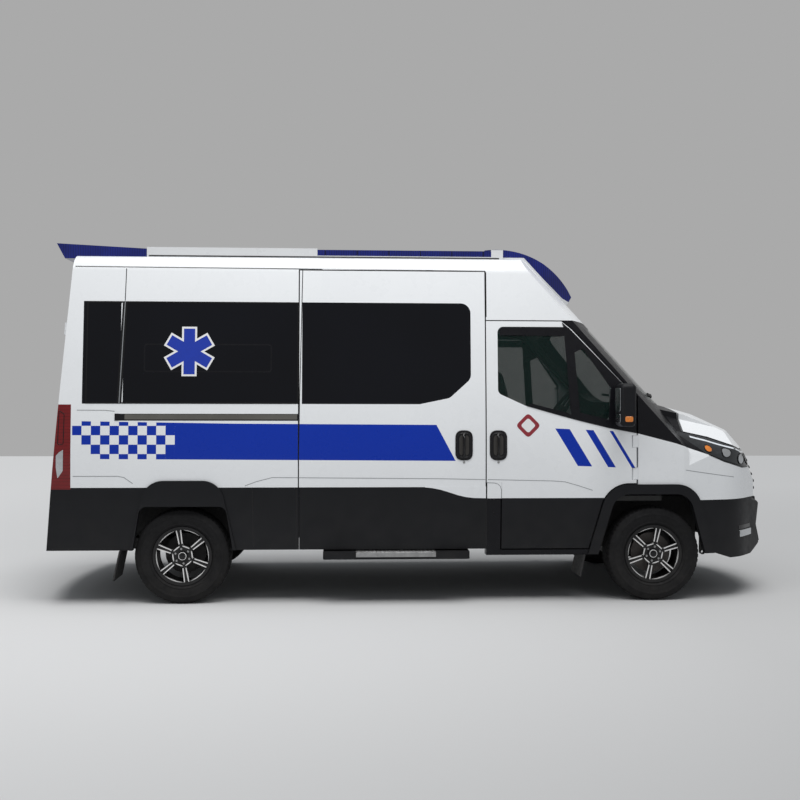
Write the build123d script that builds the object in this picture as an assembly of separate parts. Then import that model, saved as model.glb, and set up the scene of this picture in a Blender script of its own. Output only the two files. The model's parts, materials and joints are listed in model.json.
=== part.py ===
from build123d import *
import os
from math import atan2, cos, degrees, hypot, pi, radians, sin, sqrt, tan

# An ambulance on a high-roof panel van. X points forward, Z up, the right side is at -Y, and the
# origin is on the ground under the middle of the vehicle. All lengths are in millimetres.

# Running gear
wheelbase = 3520.0
rear_axle_x = -1745.0
front_axle_x = rear_axle_x + wheelbase
wheel_y = 860.0
tyre_radius = 352.0
tyre_width = 225.0
tyre_tread_width = 176.0
rim_radius = 203.0
rim_lip = 15.0
rim_wall = 9.0
rim_width = 196.0
rim_face_in = 22.0
rim_face_thick = 26.0
rim_dish = 10.0
rim_lean = 6.0
tyre_wall_round = 38.0
front_rim_turn = 12.0
rear_rim_turn = -9.0
rim_hub_radius = 78.0
rim_window_outer = 178.0
rim_window_inner = 74.0
rim_spoke = 26.0
rim_divider = 12.0
spoke_count = 6
hub_bore_radius = 34.0
hub_cap = 12.0
bearing_gap = 0.08
king_pin_y = 815.0
king_pin_radius = 13.0
knuckle_radius = 30.0
knuckle_height = 150.0
knuckle_ear = 28.0
spindle_radius = hub_bore_radius - bearing_gap
disc_radius = 150.0
disc_thick = 22.0
disc_in = 34.0
steer_arm_length = 130.0
turret_half = 60.0
rim_tube_in = 26.0
pinion_length = 230.0

# Body shell
wall = 45.0
panel_gap = 0.3
sill_half_width = 962.0
waist_half_width = 1008.0
waist_z = 1010.0
glass_line_half_width = 986.0
glass_line_z = 1480.0
roof_corner_half_width = 892.0
roof_corner_z = 2565.0
roof_apex_z = 2690.0
waist_bend_radius = 6000.0
glass_bend_radius = 9000.0
roof_corner_radius = 130.0
roof_crown_radius = 3000.0
brow_z = 2664.0
brow_forward = 4.0
brow_radius = 440.0
rear_foot_x = -2677.0
rear_foot_z = 1000.0
rear_head_x = -2553.0
rear_head_z = 2527.0
screen_foot_x = 2035.0
screen_foot_z = 1440.0
screen_slope = 47.0
screen_bow_radius = 1825.0
nose_axis_x = 1025.0
overrun = 400.0
body_top_z = 3000.0
body_far_x = 3200.0

# Nose profile at the centre line, then the bumper below it, as x and z pairs
bonnet_rear_x = 1990.0
bonnet_rear_z = 1482.0
bonnet_mid_x = 2300.0
bonnet_mid_z = 1396.0
bonnet_lip_x = 2575.0
bonnet_lip_z = 1268.0
nose_brow_x = 2705.0
nose_brow_z = 1110.0
nose_face_x = 2783.0
nose_face_top_z = 880.0
bumper_line_z = 757.0
bumper_heel_x = 2250.0
wing_foot_x = 1990.0
bonnet_rear_edge_x = 2040.0
bonnet_rear_gap = 18.0
bonnet_pin_in = 15.0
bonnet_pin_z = 1442.0
bonnet_hinge_y = 180.0
bonnet_front_z = 1105.0
bonnet_gap = 8.0
belt_mid_x = 1930.0
belt_mid_z = 1186.0
bumper_shelf_x = 2770.0
bumper_top_x = 2826.0
bumper_top_z = 700.0
bumper_waist_x = 2804.0
bumper_waist_z = 513.0
bumper_lip_x = 2830.0
bumper_lip_z = 380.0
bumper_foot_x = 2765.0
bumper_foot_z = 313.0
nose_round = 90.0
bumper_round = 22.0

# Shoulder of the nose: half widths and heights at the front door's front edge, falling forward
shoulder_station_x = 1640.0
shoulder_fall = 12.5
shoulder_low_z = 1130.0
shoulder_mid_half_width = 935.0
shoulder_mid_z = 1345.0
shoulder_top_half_width = 720.0
shoulder_top_z = 1520.0
shoulder_bend_radius = 260.0
nose_side_straight_x = 1960.0
nose_corner_x = 2440.0
nose_corner_half_width = 905.0
nose_front_x = 2850.0
nose_front_half_width = 420.0
nose_corner_radius = 420.0

# Seams of the panels, seen from the side
seam = 4.0
door_gap = 9.0
front_gap = 13.0
door_rebate = 15.0
frame_lip = 38.0
frame_sill = 48.0
waist_skin_y = 1001.6
gutter_drop = 85.0
gutter_z = roof_corner_z - gutter_drop
post_x = 504.0
cap_seam_z = 2108.0
door_crest_x = 1075.0
door_crest_z = 2100.0
door_pillar_x = 1150.0
door_pillar_z = 2040.0
door_front_x = 1632.0
door_nose_z = 1530.0
belt_z = 1259.0
door_foot_front_z = 872.0
door_sill_z = 400.0
flap_x = 618.0
flap_z = 895.0
sliding_rear_x = -887.0
cladding_top_z = 862.0
cladding_foot_z = 400.0
door_cladding_z = 778.0

# Wheel arches: outlines of the flares and of the openings
front_arch_top_z = 879.0
front_arch_half_width = 335.0
front_arch_foot_half = 590.0
front_arch_corner = 210.0
front_arch_shift = -18.0
rear_arch_top_z = 912.0
rear_arch_half_width = 270.0
rear_arch_foot_half = 480.0
rear_arch_corner = 160.0
rear_arch_shift = 8.0
rear_mouth_top_z = 722.0
rear_mouth_half_width = 312.0
rear_mouth_foot_half = 430.0
rear_mouth_corner = 60.0
arch_foot_z = 355.0
flare_width = 74.0
flare_proud = 14.0

# Windows in the load space
window_top_z = 2232.0
window_foot_z = 1476.0
window_rear_x = -2470.0
window_post_x = -2186.0
window_front_x = 388.0
window_seam_half = 10.0
window_corner = 75.0
window_sweep_x = 5.0
window_sweep_rise = 190.0
window_sweep_back = 160.0
window_sweep_low = 46.0
glass = 7.0

# Front door window
pane_rear_x = 590.0
pane_rear_top_z = 2058.0
pane_front_top_x = 1128.0
pane_mid_x = 1440.0
pane_mid_z = 1640.0
pane_foot_front_z = 1350.0
pane_dip_x = 800.0
pane_dip_z = 1464.0
pane_rear_foot_z = 1560.0
pane_corner = 45.0

# Windscreen, seen from the front
screen_half_foot = 850.0
screen_half_head = 745.0
screen_head_z = 2072.0
screen_corner = 90.0
screen_glass_foot_z = 1485.0

# Rear doors
rear_door_half_width = 868.0
rear_door_foot_z = 762.0
rear_door_head_z = 2430.0
rear_door_meet = 6.0
rear_pane_foot_z = 1500.0
rear_pane_head_z = 2215.0
rear_pane_inner_y = 110.0
rear_pane_outer_y = 740.0
rear_hinge_proud = 18.0
strap_length = 62.0
strap_thick = 8.0
strap_sink = 2.0
rear_hinge_heights = (1180.0, 2030.0)
hinge_pin_radius = 6.0
hinge_eye_radius = 12.0
hinge_height = 90.0
hinge_slack = 1.0
hinge_clear = 5.0
hinge_pin_length = 150.0
track_rear_x = -2207.0
track_foot_z = 1352.0
track_top_z = 1403.0
track_depth = 18.0
door_hinge_inset = 18.0
door_hinge_heights = (960.0, 1200.0)

# Lamps and lights
tail_lamp_top_z = 1470.0
tail_lamp_foot_z = 850.0
tail_lamp_front_x = -2547.0
tail_lamp_inner_y = 940.0
lamp_tip_x = 1935.0
lamp_tip_z = 1284.0
lamp_crest_x = 2225.0
lamp_crest_z = 1222.0
lamp_front_z = 1128.0
lamp_chin_z = 990.0
lamp_chin_x = 2321.0
lamp_chin_rise_z = 1043.0
lamp_heel_x = 2187.0
lamp_heel_z = 1101.0
lamp_front_x = 2500.0
lamp_inner_y = 620.0

# Roof equipment
rail_y = 770.0
rail_width = 70.0
rail_rise = 85.0
rail_foot_rise = 31.0
rail_top_z = roof_corner_z + rail_rise
rail_foot_z = roof_corner_z + rail_foot_rise
rail_rear_x = -2034.0
side_bar_rear_x = -760.0
side_bar_front_x = 560.0
side_bar_drop = 10.0
side_bar_top_z = rail_top_z - side_bar_drop
rear_wing_tip_x = -2700.0
rear_wing_rise = 22.0
rear_wing_height = 112.0
rear_wing_top_z = rail_top_z + rear_wing_rise
rear_wing_low_z = rear_wing_top_z - rear_wing_height
rear_wing_half_width = 800.0
rear_wing_drop = 34.0
dome_half_width = 690.0
dome_rear_x = 650.0
dome_rear_rise = 12.0
dome_rear_z = rail_top_z + dome_rear_rise
dome_foot_x = 1290.0
dome_foot_z = 2320.0
dome_bulge = 119.0
dome_lens_drop = 45.0
dome_base_drop = 200.0
dome_axis_x = -1310.0
dome_sweep = 50.0
dome_corner_x = 980.0
dome_tip_x = 1400.0
dome_tip_half_width = 420.0
dome_corner_radius = 150.0
cap_length = 90.0
wing_heel = 60.0
wing_depth = 130.0

# Floor, frame and axles
floor_top_z = 785.0
floor_thick = 38.0
floor_rear_x = -2640.0
stretcher_rear_x = -2300.0
stretcher_front_x = -350.0
stretcher_half_width = 300.0
stretcher_plate_rise = 6.0
firewall_x = 1850.0
firewall_top_z = 1395.0
rail_half_gap = 400.0
chassis_rail_width = 70.0
chassis_rail_height = 150.0
chassis_end_x = 2900.0
cross_member = 90.0
cross_member_xs = (-2300.0, -1150.0, -300.0, 560.0, 1300.0, 2530.0)
outrigger_xs = (-640.0, 190.0)
tow_thick = 30.0
hanger_top_z = 560.0
spring_y = 520.0
spring_width = 70.0
spring_thick = 14.0
spring_half_length = 660.0
spring_leaves = 3
axle_tube_radius = 48.0
axle_ball_radius = 140.0
arm_width = 70.0
arm_thick = 34.0
arm_inner_y = 330.0
subframe_z = 249.0
subframe_height = 110.0
subframe_half_length = 190.0
subframe_half_width = 360.0
engine_rear_x = 1905.0
engine_front_x = 2480.0
engine_half_width = 310.0
engine_foot_z = 520.0
engine_top_z = 1150.0
radiator_x = 2575.0
radiator_thick = 70.0

# Cab
partition_x = 440.0
partition_thick = 30.0
dash_front_x = 1811.0
dash_rear_x = 1400.0
dash_top_z = 1330.0
dash_foot_z = 1010.0
dash_half_width = 890.0
steering_wheel_radius = 225.0
steering_wheel_tube = 16.0
steering_wheel_x = 1330.0
steering_wheel_y = 430.0
steering_wheel_z = 1400.0
steering_tilt = 35.0
steering_hub_radius = 70.0
hub_thick = 40.0
column_length = 330.0
column_radius = 40.0
hatch_half = 300.0
hatch_foot_z = 1500.0
hatch_top_z = 1950.0
dash_fall = 60.0
dash_round = 130.0
console_half = 130.0
firewall_half = 890.0
seat_x = 700.0
seat_length = 480.0
seat_width = 480.0
seat_y = 480.0
seat_base_height = 270.0
seat_cushion = 130.0
seat_back_height = 640.0
seat_back_thick = 120.0
seat_back_lean = 14.0
headrest_height = 190.0
headrest_width = 270.0
headrest_gap = 12.0

# Ends and sides
step_rear_x = -2830.0
step_corner_drop = 85.0
step_foot_z = 405.0
step_top_z = 480.0
step_half_width = 800.0
rear_bumper_front_x = -2610.0
side_step_rear_x = -709.0
side_step_front_x = 374.0
side_step_foot_z = 335.0
side_step_top_z = 388.0
side_step_out = 1050.0
side_step_in = 880.0
side_step_round = 26.0
bracket_width = 60.0
bracket_thick = 30.0
bracket_xs = (-640.0, 190.0)
flap_thick = 10.0
flap_width = 300.0
front_mud_flap_x = 1240.0
front_mud_flap_foot_z = 190.0
rear_mud_flap_x = -2190.0
rear_mud_flap_foot_z = 175.0
mud_flap_lean = 12.0
tow_hook_x = 2338.0
tow_hook_foot_z = 262.0
tow_eye_radius = 22.0
tow_bore_radius = 12.0
mirror_x = 1508.0
mirror_length = 120.0
mirror_width = 190.0
mirror_y = 1150.0
mirror_foot_z = 1316.0
mirror_top_z = 1632.0
mirror_round = 36.0
mirror_arm_z = 1400.0
mirror_arm_radius = 20.0
mirror_arm_forward = 52.0
mirror_root_y = 960.0
exhaust_radius = 34.0
silencer_radius = 95.0
tank_x = -560.0
tank_y = 660.0
silencer_x = -700.0
silencer_length = 380.0
silencer_drop = 60.0
exhaust_front_x = 1300.0
exhaust_rear_x = -1150.0
exhaust_y = 250.0
shaft_radius = 28.0
gearbox_length = 500.0
gearbox_half = 140.0
mount_length = 120.0
tank_length = 900.0
tank_width = 250.0
tank_height = 260.0
tank_round = 50.0


def along_y(face, y_low, y_high):
    """A side-view outline pulled across the vehicle."""
    return extrude(Plane.XZ.offset(-y_high) * face, y_high - y_low, dir=(0, -1, 0))


def along_z(face, z_low, z_high):
    """A plan outline pulled upwards."""
    return extrude(Plane.XY.offset(z_low) * face, z_high - z_low, dir=(0, 0, 1))


def along_x(face, x_low, x_high):
    """A cross-section pulled forwards."""
    return extrude(Plane.YZ.offset(x_low) * face, x_high - x_low, dir=(1, 0, 0))


def outline(*points):
    return Polygon(*points, align=None)


def block(x_low, x_high, y_low, y_high, z_low, z_high):
    size = (x_high - x_low, y_high - y_low, z_high - z_low)
    return Pos(x_low, y_low, z_low) * Box(*size, align=(Align.MIN, Align.MIN, Align.MIN))


def rod(start, end, radius):
    """A round bar between two points."""
    path = Vector(end) - Vector(start)
    return Plane(origin=start, z_dir=path) * Cylinder(
        radius, path.length, align=(Align.CENTER, Align.CENTER, Align.MIN))


def other_side(shape):
    return mirror(shape, about=Plane.XZ)


def both(shape):
    """The right-hand shape and its left-hand twin, as a list of solids."""
    return [shape, other_side(shape)]


def solids(*shapes):
    """One compound holding the separate solids of all shapes."""
    found = []
    for shape in shapes:
        found.extend(shape.solids())
    return Compound(children=found)


def body_section(inset):
    """Cross-section of cab and load space, leaning in above the waist and crowned at the roof."""
    side = [(sill_half_width, 0), (waist_half_width, waist_z), (glass_line_half_width, glass_line_z),
            (roof_corner_half_width, roof_corner_z)]
    face = outline(*side, (0, roof_apex_z), *[(-y, z) for y, z in reversed(side)])
    bends = {waist_z: waist_bend_radius, glass_line_z: glass_bend_radius,
             roof_corner_z: roof_corner_radius, roof_apex_z: roof_crown_radius}
    for height, radius in bends.items():
        face = fillet([v for v in face.vertices() if abs(v.Y - height) < seam], radius)
    return offset(face, -inset) if inset else face


def rear_lean():
    return (rear_head_x - rear_foot_x) / (rear_head_z - rear_foot_z)


def rear_x(z):
    """The rear face's x at a height."""
    return rear_foot_x + (z - rear_foot_z) * rear_lean()


def cab_and_load(inset):
    """Everything from the rear face to the windscreen, as one closed form."""
    body = along_x(body_section(inset), rear_foot_x - overrun, screen_foot_x)
    shift = inset / cos(atan2(rear_lean(), 1))
    rear = outline((rear_x(0) + shift, 0), (body_far_x, 0), (body_far_x, body_top_z),
                   (rear_x(body_top_z) + shift, body_top_z))
    body = body & along_y(rear, -body_top_z, body_top_z)
    foot_x = screen_foot_x - inset / sin(radians(screen_slope))
    half = waist_half_width + wall
    bow_x = foot_x - screen_bow_radius + sqrt(screen_bow_radius ** 2 - half ** 2)
    plan = make_face([
        ThreePointArc((bow_x, -half), (foot_x, 0), (bow_x, half)),
        Line((bow_x, half), (-2 * body_far_x, half)),
        Line((-2 * body_far_x, half), (-2 * body_far_x, -half)),
        Line((-2 * body_far_x, -half), (bow_x, -half))])
    reach = body_top_z / sin(radians(screen_slope))
    lean = (-cos(radians(screen_slope)), 0, sin(radians(screen_slope)))
    low = (screen_foot_z / tan(radians(screen_slope)), 0, -screen_foot_z)
    ahead = extrude(Plane.XY.offset(screen_foot_z) * plan, reach, dir=lean)
    below = extrude(Plane.XY.offset(screen_foot_z) * plan, Vector(*low).length, dir=low)
    return (body & (ahead + below)) & along_y(brow_face(inset), -body_top_z, body_top_z)


def brow_face(inset):
    """The side view that rounds the edge between roof and windscreen."""
    slope = tan(radians(screen_slope))
    face = outline((-2 * body_far_x, -body_top_z), (-2 * body_far_x, brow_z),
                   (screen_foot_x + brow_forward - (brow_z - screen_foot_z) / slope, brow_z),
                   (screen_foot_x + brow_forward + (screen_foot_z + body_top_z) / slope, -body_top_z))
    face = fillet([v for v in face.vertices() if v.Y > brow_z - seam and v.X > 0], brow_radius)
    return offset(face, -inset, kind=Kind.INTERSECTION) if inset else face


def nose_face(inset):
    """Half of the nose's upright section through the centre line."""
    top = [(nose_axis_x, bonnet_rear_z), (bonnet_rear_x, bonnet_rear_z), (bonnet_mid_x, bonnet_mid_z),
           (bonnet_lip_x, bonnet_lip_z), (nose_brow_x, nose_brow_z), (nose_face_x, nose_face_top_z),
           (nose_face_x, bumper_line_z)]
    low = [(bumper_shelf_x, bumper_line_z - bumper_round), (bumper_top_x, bumper_top_z),
           (bumper_waist_x, bumper_waist_z), (bumper_lip_x, bumper_lip_z),
           (bumper_foot_x, bumper_foot_z), (bumper_foot_x, 0), (nose_axis_x, 0)]
    face = outline(*top, *low)
    soft = [v for v in face.vertices() if nose_face_top_z - seam < v.Y < bonnet_mid_z + seam]
    face = fillet(soft, nose_round)
    bumper_corners = [v for v in face.vertices() if bumper_foot_z + seam < v.Y < bumper_top_z + seam]
    face = fillet(bumper_corners, bumper_round)
    if inset:
        face = offset(face, -inset, kind=Kind.INTERSECTION)
        keep = outline((nose_axis_x, 0), (nose_front_x, 0), (nose_front_x, body_top_z),
                       (nose_axis_x, body_top_z))
        face = face & keep
    return face


def shoulder(inset):
    """The section over wings and bonnet, pulled forward along the bonnet's fall."""
    fall = tan(radians(shoulder_fall))
    side = [(waist_half_width, -body_top_z), (waist_half_width, shoulder_low_z),
            (shoulder_mid_half_width, shoulder_mid_z), (shoulder_top_half_width, shoulder_top_z),
            (shoulder_top_half_width, body_top_z)]
    section = outline(*side, *[(-y, z) for y, z in reversed(side)])
    bent = [v for v in section.vertices() if shoulder_low_z - seam < v.Y < shoulder_mid_z + seam]
    section = fillet(bent, shoulder_bend_radius)
    if inset:
        section = offset(section, -inset, kind=Kind.INTERSECTION)
    span = body_far_x - shoulder_station_x + overrun
    start = Pos(0, 0, overrun * fall) * Plane.YZ.offset(shoulder_station_x - overrun) * section
    slope = Vector(1, 0, -fall)
    return extrude(start, span * slope.length, dir=slope)


def nose(inset):
    """Bonnet, wings and bumper: a profile turned about an upright axis behind the nose."""
    turned = Plane(origin=(nose_axis_x, 0, 0), x_dir=(0, -1, 0), z_dir=(-1, 0, 0))
    body = revolve(turned * Pos(-nose_axis_x, 0) * nose_face(inset), Axis((nose_axis_x, 0, 0), (0, 0, 1)), 180)
    start_x = shoulder_station_x - overrun / 2
    sides = along_x(body_section(inset), start_x, body_far_x)
    return (shoulder(inset) & sides) & body


def plan_outline(inset):
    """The body's outline from above, with the nose's rounded corners."""
    half = waist_half_width
    side = [(-body_far_x, half), (nose_side_straight_x, half), (nose_corner_x, nose_corner_half_width),
            (nose_front_x + inset, nose_front_half_width)]
    face = outline(*side, *[(x, -y) for x, y in reversed(side)])
    bent = [v for v in face.vertices() if nose_side_straight_x - seam < v.X < nose_corner_x + seam]
    face = fillet(bent, nose_corner_radius)
    return offset(face, -inset, kind=Kind.INTERSECTION) if inset else face


def hull(inset):
    """The whole outer form, set in by a distance."""
    plan = along_z(plan_outline(inset), 0, body_top_z)
    return (cab_and_load(inset) & plan) + (nose(inset) & plan)


def arch_face(x_mid, foot_half, top_half, top_z, corner):
    """A wheel arch's outline: a tapered opening with round shoulders."""
    face = outline((x_mid - foot_half, 0), (x_mid - top_half, top_z), (x_mid + top_half, top_z),
                   (x_mid + foot_half, 0))
    return fillet([v for v in face.vertices() if v.Y > top_z - seam], corner)


def front_flare(grow=0):
    face = arch_face(front_axle_x + front_arch_shift, front_arch_foot_half, front_arch_half_width,
                     front_arch_top_z, front_arch_corner)
    return offset(face, grow) if grow else face


def rear_flare(grow=0):
    face = arch_face(rear_axle_x + rear_arch_shift, rear_arch_foot_half, rear_arch_half_width,
                     rear_arch_top_z, rear_arch_corner)
    return offset(face, grow) if grow else face


def rear_opening():
    return arch_face(rear_axle_x + rear_arch_shift, rear_mouth_foot_half, rear_mouth_half_width,
                     rear_mouth_top_z, rear_mouth_corner)


def door_outline(grow=0):
    """The front door seen from the side."""
    face = outline((post_x, flap_z), (post_x, door_crest_z), (door_crest_x, door_crest_z),
                   (door_pillar_x, door_pillar_z), (door_front_x, door_nose_z),
                   (door_front_x, door_sill_z), (flap_x, door_sill_z), (flap_x, flap_z))
    return offset(face, grow, kind=Kind.INTERSECTION) if grow else face


def door_pane():
    """The front door's window: level top, sloped front edge and a belt that dips forward."""
    face = outline((pane_rear_x, pane_rear_foot_z), (pane_rear_x, pane_rear_top_z),
                   (pane_front_top_x, pane_rear_top_z), (pane_mid_x, pane_mid_z),
                   (pane_mid_x, pane_foot_front_z), (pane_dip_x, pane_dip_z))
    return fillet(face.vertices(), pane_corner)


def load_window(x_low, x_high):
    return outline((x_low, window_foot_z), (x_low, window_top_z), (x_high, window_top_z),
                   (x_high, window_foot_z))


def sliding_pane():
    """The window in the sliding door, with its swept lower front corner."""
    face = outline((sliding_rear_x + door_gap + window_seam_half, window_foot_z),
                   (sliding_rear_x + door_gap + window_seam_half, window_top_z),
                   (window_front_x, window_top_z),
                   (window_front_x, window_foot_z + window_sweep_rise),
                   (window_front_x - window_sweep_back, window_foot_z + window_sweep_low),
                   (window_sweep_x, window_foot_z))
    bent = [v for v in face.vertices() if v.X > window_sweep_x + seam]
    return fillet(bent, window_corner)


def screen_face():
    face = outline((-screen_half_foot, screen_glass_foot_z), (-screen_half_head, screen_head_z),
                   (screen_half_head, screen_head_z), (screen_half_foot, screen_glass_foot_z))
    return fillet(face.vertices(), screen_corner)


def bonnet_region(grow=0):
    """The bonnet's side outline, ending at a straight rear edge."""
    side = outline((bonnet_rear_x - overrun, lamp_tip_z + bonnet_gap), (lamp_tip_x, lamp_tip_z),
                   (lamp_crest_x, lamp_crest_z + bonnet_gap), (lamp_front_x, lamp_front_z + bonnet_gap),
                   (bonnet_lip_x, bonnet_front_z), (nose_front_x + overrun, bonnet_front_z),
                   (nose_front_x + overrun, body_top_z), (bonnet_rear_x - overrun, body_top_z))
    side = offset(side, grow, kind=Kind.INTERSECTION) if grow else side
    rear = bonnet_rear_edge_x - (bonnet_rear_gap if grow else 0)
    space = block(rear, nose_front_x + overrun, -body_far_x, body_far_x, 0, body_top_z)
    return along_y(side, -body_far_x, body_far_x) & space


def lamp_face(grow=0):
    face = outline((lamp_tip_x, lamp_tip_z), (lamp_crest_x, lamp_crest_z), (lamp_front_x, lamp_front_z),
                   (nose_front_x, lamp_front_z), (nose_front_x, lamp_chin_z), (lamp_front_x, lamp_chin_z),
                   (lamp_chin_x, lamp_chin_rise_z), (lamp_heel_x, lamp_heel_z))
    return offset(face, grow, kind=Kind.INTERSECTION) if grow else face


def right(x_low, x_high, z_low, z_high, y_in=0):
    """The space on the right-hand side between stations and heights."""
    return block(x_low, x_high, -body_far_x, -y_in, z_low, z_high)


def hinge_pocket(depth):
    """The slot and pin bore that a hinge needs in the edge of what it carries; the pin is on Z."""
    reach = door_hinge_inset + front_gap
    slot = block(-hinge_eye_radius - hinge_clear, reach, -depth, depth,
                 -hinge_height / 2 - hinge_slack, hinge_height / 2 + hinge_slack)
    bore = Cylinder(hinge_pin_radius + bearing_gap, hinge_pin_length)
    return slot + bore


def hinge_arm(reach, depth):
    """The fixed half of a hinge: eye, pin and the arm that runs forward along +X."""
    eye = Cylinder(hinge_eye_radius, hinge_height)
    pin = Cylinder(hinge_pin_radius, hinge_pin_length - 2 * hinge_slack)
    arm = block(0, reach, -depth, depth, -hinge_height / 2, hinge_height / 2)
    return eye + pin + arm


def tail_slab(depth):
    """Everything behind a plane that stands this far in front of the leaning rear face."""
    face = outline((-body_far_x, 0), (rear_foot_x + depth, 0), (rear_foot_x + depth, rear_foot_z),
                   (rear_x(body_top_z) + depth, body_top_z), (-body_far_x, body_top_z))
    return along_y(face, -body_far_x, body_far_x)


def shell_parts(outer, proud):
    """Every panel cut from the body shell, as a dictionary of node names."""
    inner = hull(wall)
    behind_glass = hull(glass)
    frame_inner = hull(2 * wall)
    pocket_floor = hull(wall + door_rebate)
    shell = outer - inner
    parts = {}

    roof_side = outline((-body_far_x, gutter_z), (post_x, gutter_z), (post_x, cap_seam_z),
                        (body_far_x, cap_seam_z), (body_far_x, body_top_z), (-body_far_x, body_top_z))
    parts["roof"] = shell & along_y(roof_side, -body_far_x, body_far_x)

    rear_door_space = tail_slab(wall + 2 * door_gap) & block(
        -body_far_x, 0, -rear_door_half_width - door_gap, rear_door_half_width + door_gap,
        rear_door_foot_z - door_gap, rear_door_head_z + door_gap)
    tail_lamp_space = right(-body_far_x, tail_lamp_front_x, tail_lamp_foot_z, tail_lamp_top_z,
                            tail_lamp_inner_y)
    side_space = right(-body_far_x, post_x, cladding_top_z, gutter_z)
    slider = outline((sliding_rear_x, cladding_top_z), (sliding_rear_x, gutter_z - door_gap),
                     (post_x - door_gap, gutter_z - door_gap), (post_x - door_gap, cladding_top_z))
    wall_right = (shell & side_space) - rear_door_space - tail_lamp_space
    rear_window = load_window(window_rear_x, window_post_x - window_seam_half)
    mid_window = load_window(window_post_x + window_seam_half, sliding_rear_x - window_seam_half)
    front_window = sliding_pane()
    for pane in (rear_window, mid_window):
        wall_right = wall_right - along_y(pane, -body_far_x, 0)
    wall_plain = wall_right - along_y(front_window, -body_far_x, 0)
    slider_space = along_y(slider, -body_far_x, 0)
    slider_gap = along_y(offset(slider, door_gap, kind=Kind.INTERSECTION), -body_far_x, 0)
    track = right(track_rear_x, sliding_rear_x - door_gap, track_foot_z, track_top_z) & (
        outer - hull(track_depth))
    arch_cut = along_y(rear_flare(), -body_far_x, body_far_x)
    parts["side_wall_right"] = wall_right - slider_gap - track - arch_cut
    parts["side_wall_left"] = other_side(wall_plain - arch_cut)
    parts["sliding_door"] = (shell & side_space & slider_space) - along_y(front_window, -body_far_x, 0)

    skin = outer - behind_glass
    side_skin = skin & right(-body_far_x, post_x, cladding_top_z, gutter_z)
    panes = [side_skin & along_y(pane, -body_far_x, 0) for pane in (rear_window, mid_window, front_window)]
    parts["side_windows"] = solids(*[s for pane in panes for s in both(pane)])
    parts["tail_lamps"] = solids(*both(shell & tail_lamp_space))

    low_space = right(-body_far_x, post_x, cladding_foot_z, cladding_top_z)
    rear_middle = block(-body_far_x, rear_bumper_front_x, -rear_door_half_width - door_gap,
                        rear_door_half_width + door_gap, 0, cladding_top_z)
    cladding = (shell & low_space) - rear_middle - tail_lamp_space
    cladding = cladding - arch_cut
    seam_cut = right(sliding_rear_x - seam / 2, sliding_rear_x + seam / 2, 0, cladding_top_z)
    flare_space = (along_y(rear_flare(), -body_far_x, 0) - along_y(rear_opening(), -body_far_x, 0))
    flare_space = flare_space & block(-body_far_x, post_x, -body_far_x, 0, cladding_foot_z, body_top_z)
    rear_flares = (proud - inner) & flare_space
    cladding_right = (cladding - seam_cut) + rear_flares
    flare_band = along_y(front_flare(), -body_far_x, 0) - along_y(offset(front_flare(), -flare_width),
                                                                  -body_far_x, 0)
    flare_band = flare_band & right(0, nose_front_x, arch_foot_z, body_top_z)
    front_flares = (proud - inner) & flare_band
    parts["side_cladding"] = solids(*both(cladding_right), *both(front_flares), track)

    rear_mid = shell & block(-body_far_x, rear_bumper_front_x, -rear_door_half_width,
                             rear_door_half_width, step_foot_z, rear_door_foot_z - door_gap)
    parts["rear_bumper"] = rear_mid

    for side, flip in (("right", False), ("left", True)):
        put = other_side if flip else (lambda shape: shape)
        leaf = shell & tail_slab(wall + door_gap) & block(
            -body_far_x, 0, -rear_door_half_width, -rear_door_meet, rear_door_foot_z, rear_door_head_z)
        hole = outline((-rear_pane_outer_y, rear_pane_foot_z), (-rear_pane_inner_y, rear_pane_foot_z),
                       (-rear_pane_inner_y, rear_pane_head_z), (-rear_pane_outer_y, rear_pane_head_z))
        hole = along_x(fillet(hole.vertices(), pane_corner), -body_far_x, rear_bumper_front_x + overrun)
        parts["rear_door_" + side] = put(leaf - hole)
        parts["rear_door_glass_" + side] = put(skin & hole)

    door_space = along_y(door_outline(), -body_far_x, 0) - along_y(front_flare(door_gap), -body_far_x, 0)
    door = shell & door_space & right(post_x, body_far_x, 0, body_top_z)
    pane_space = along_y(door_pane(), -body_far_x, 0)
    door_low = right(0, body_far_x, 0, door_cladding_z)
    white = door - pane_space - door_low
    black = door & door_low
    axis_x, axis_y = door_axis()
    pockets = [Pos(axis_x, -axis_y, z) * hinge_pocket(wall) for z in door_hinge_heights]
    for pocket in pockets:
        white = white - pocket
    parts["front_door_right"] = white
    parts["front_door_left"] = other_side(white)
    parts["front_door_cladding_right"] = black
    parts["front_door_cladding_left"] = other_side(black)
    door_glass = skin & pane_space
    parts["front_door_glass_right"] = door_glass
    parts["front_door_glass_left"] = other_side(door_glass)

    windscreen_space = along_x(screen_face(), nose_axis_x, body_far_x)
    parts["windscreen"] = skin & windscreen_space
    lamp_space = along_y(lamp_face(), -body_far_x, -lamp_inner_y)
    parts["headlamps"] = solids(*both(shell & lamp_space))
    lamp_clear = along_y(lamp_face(bonnet_gap), -body_far_x, -lamp_inner_y + bonnet_gap)
    bonnet = shell & bonnet_region()
    for space in both(lamp_clear):
        bonnet = bonnet - space
    parts["bonnet"] = bonnet

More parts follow.
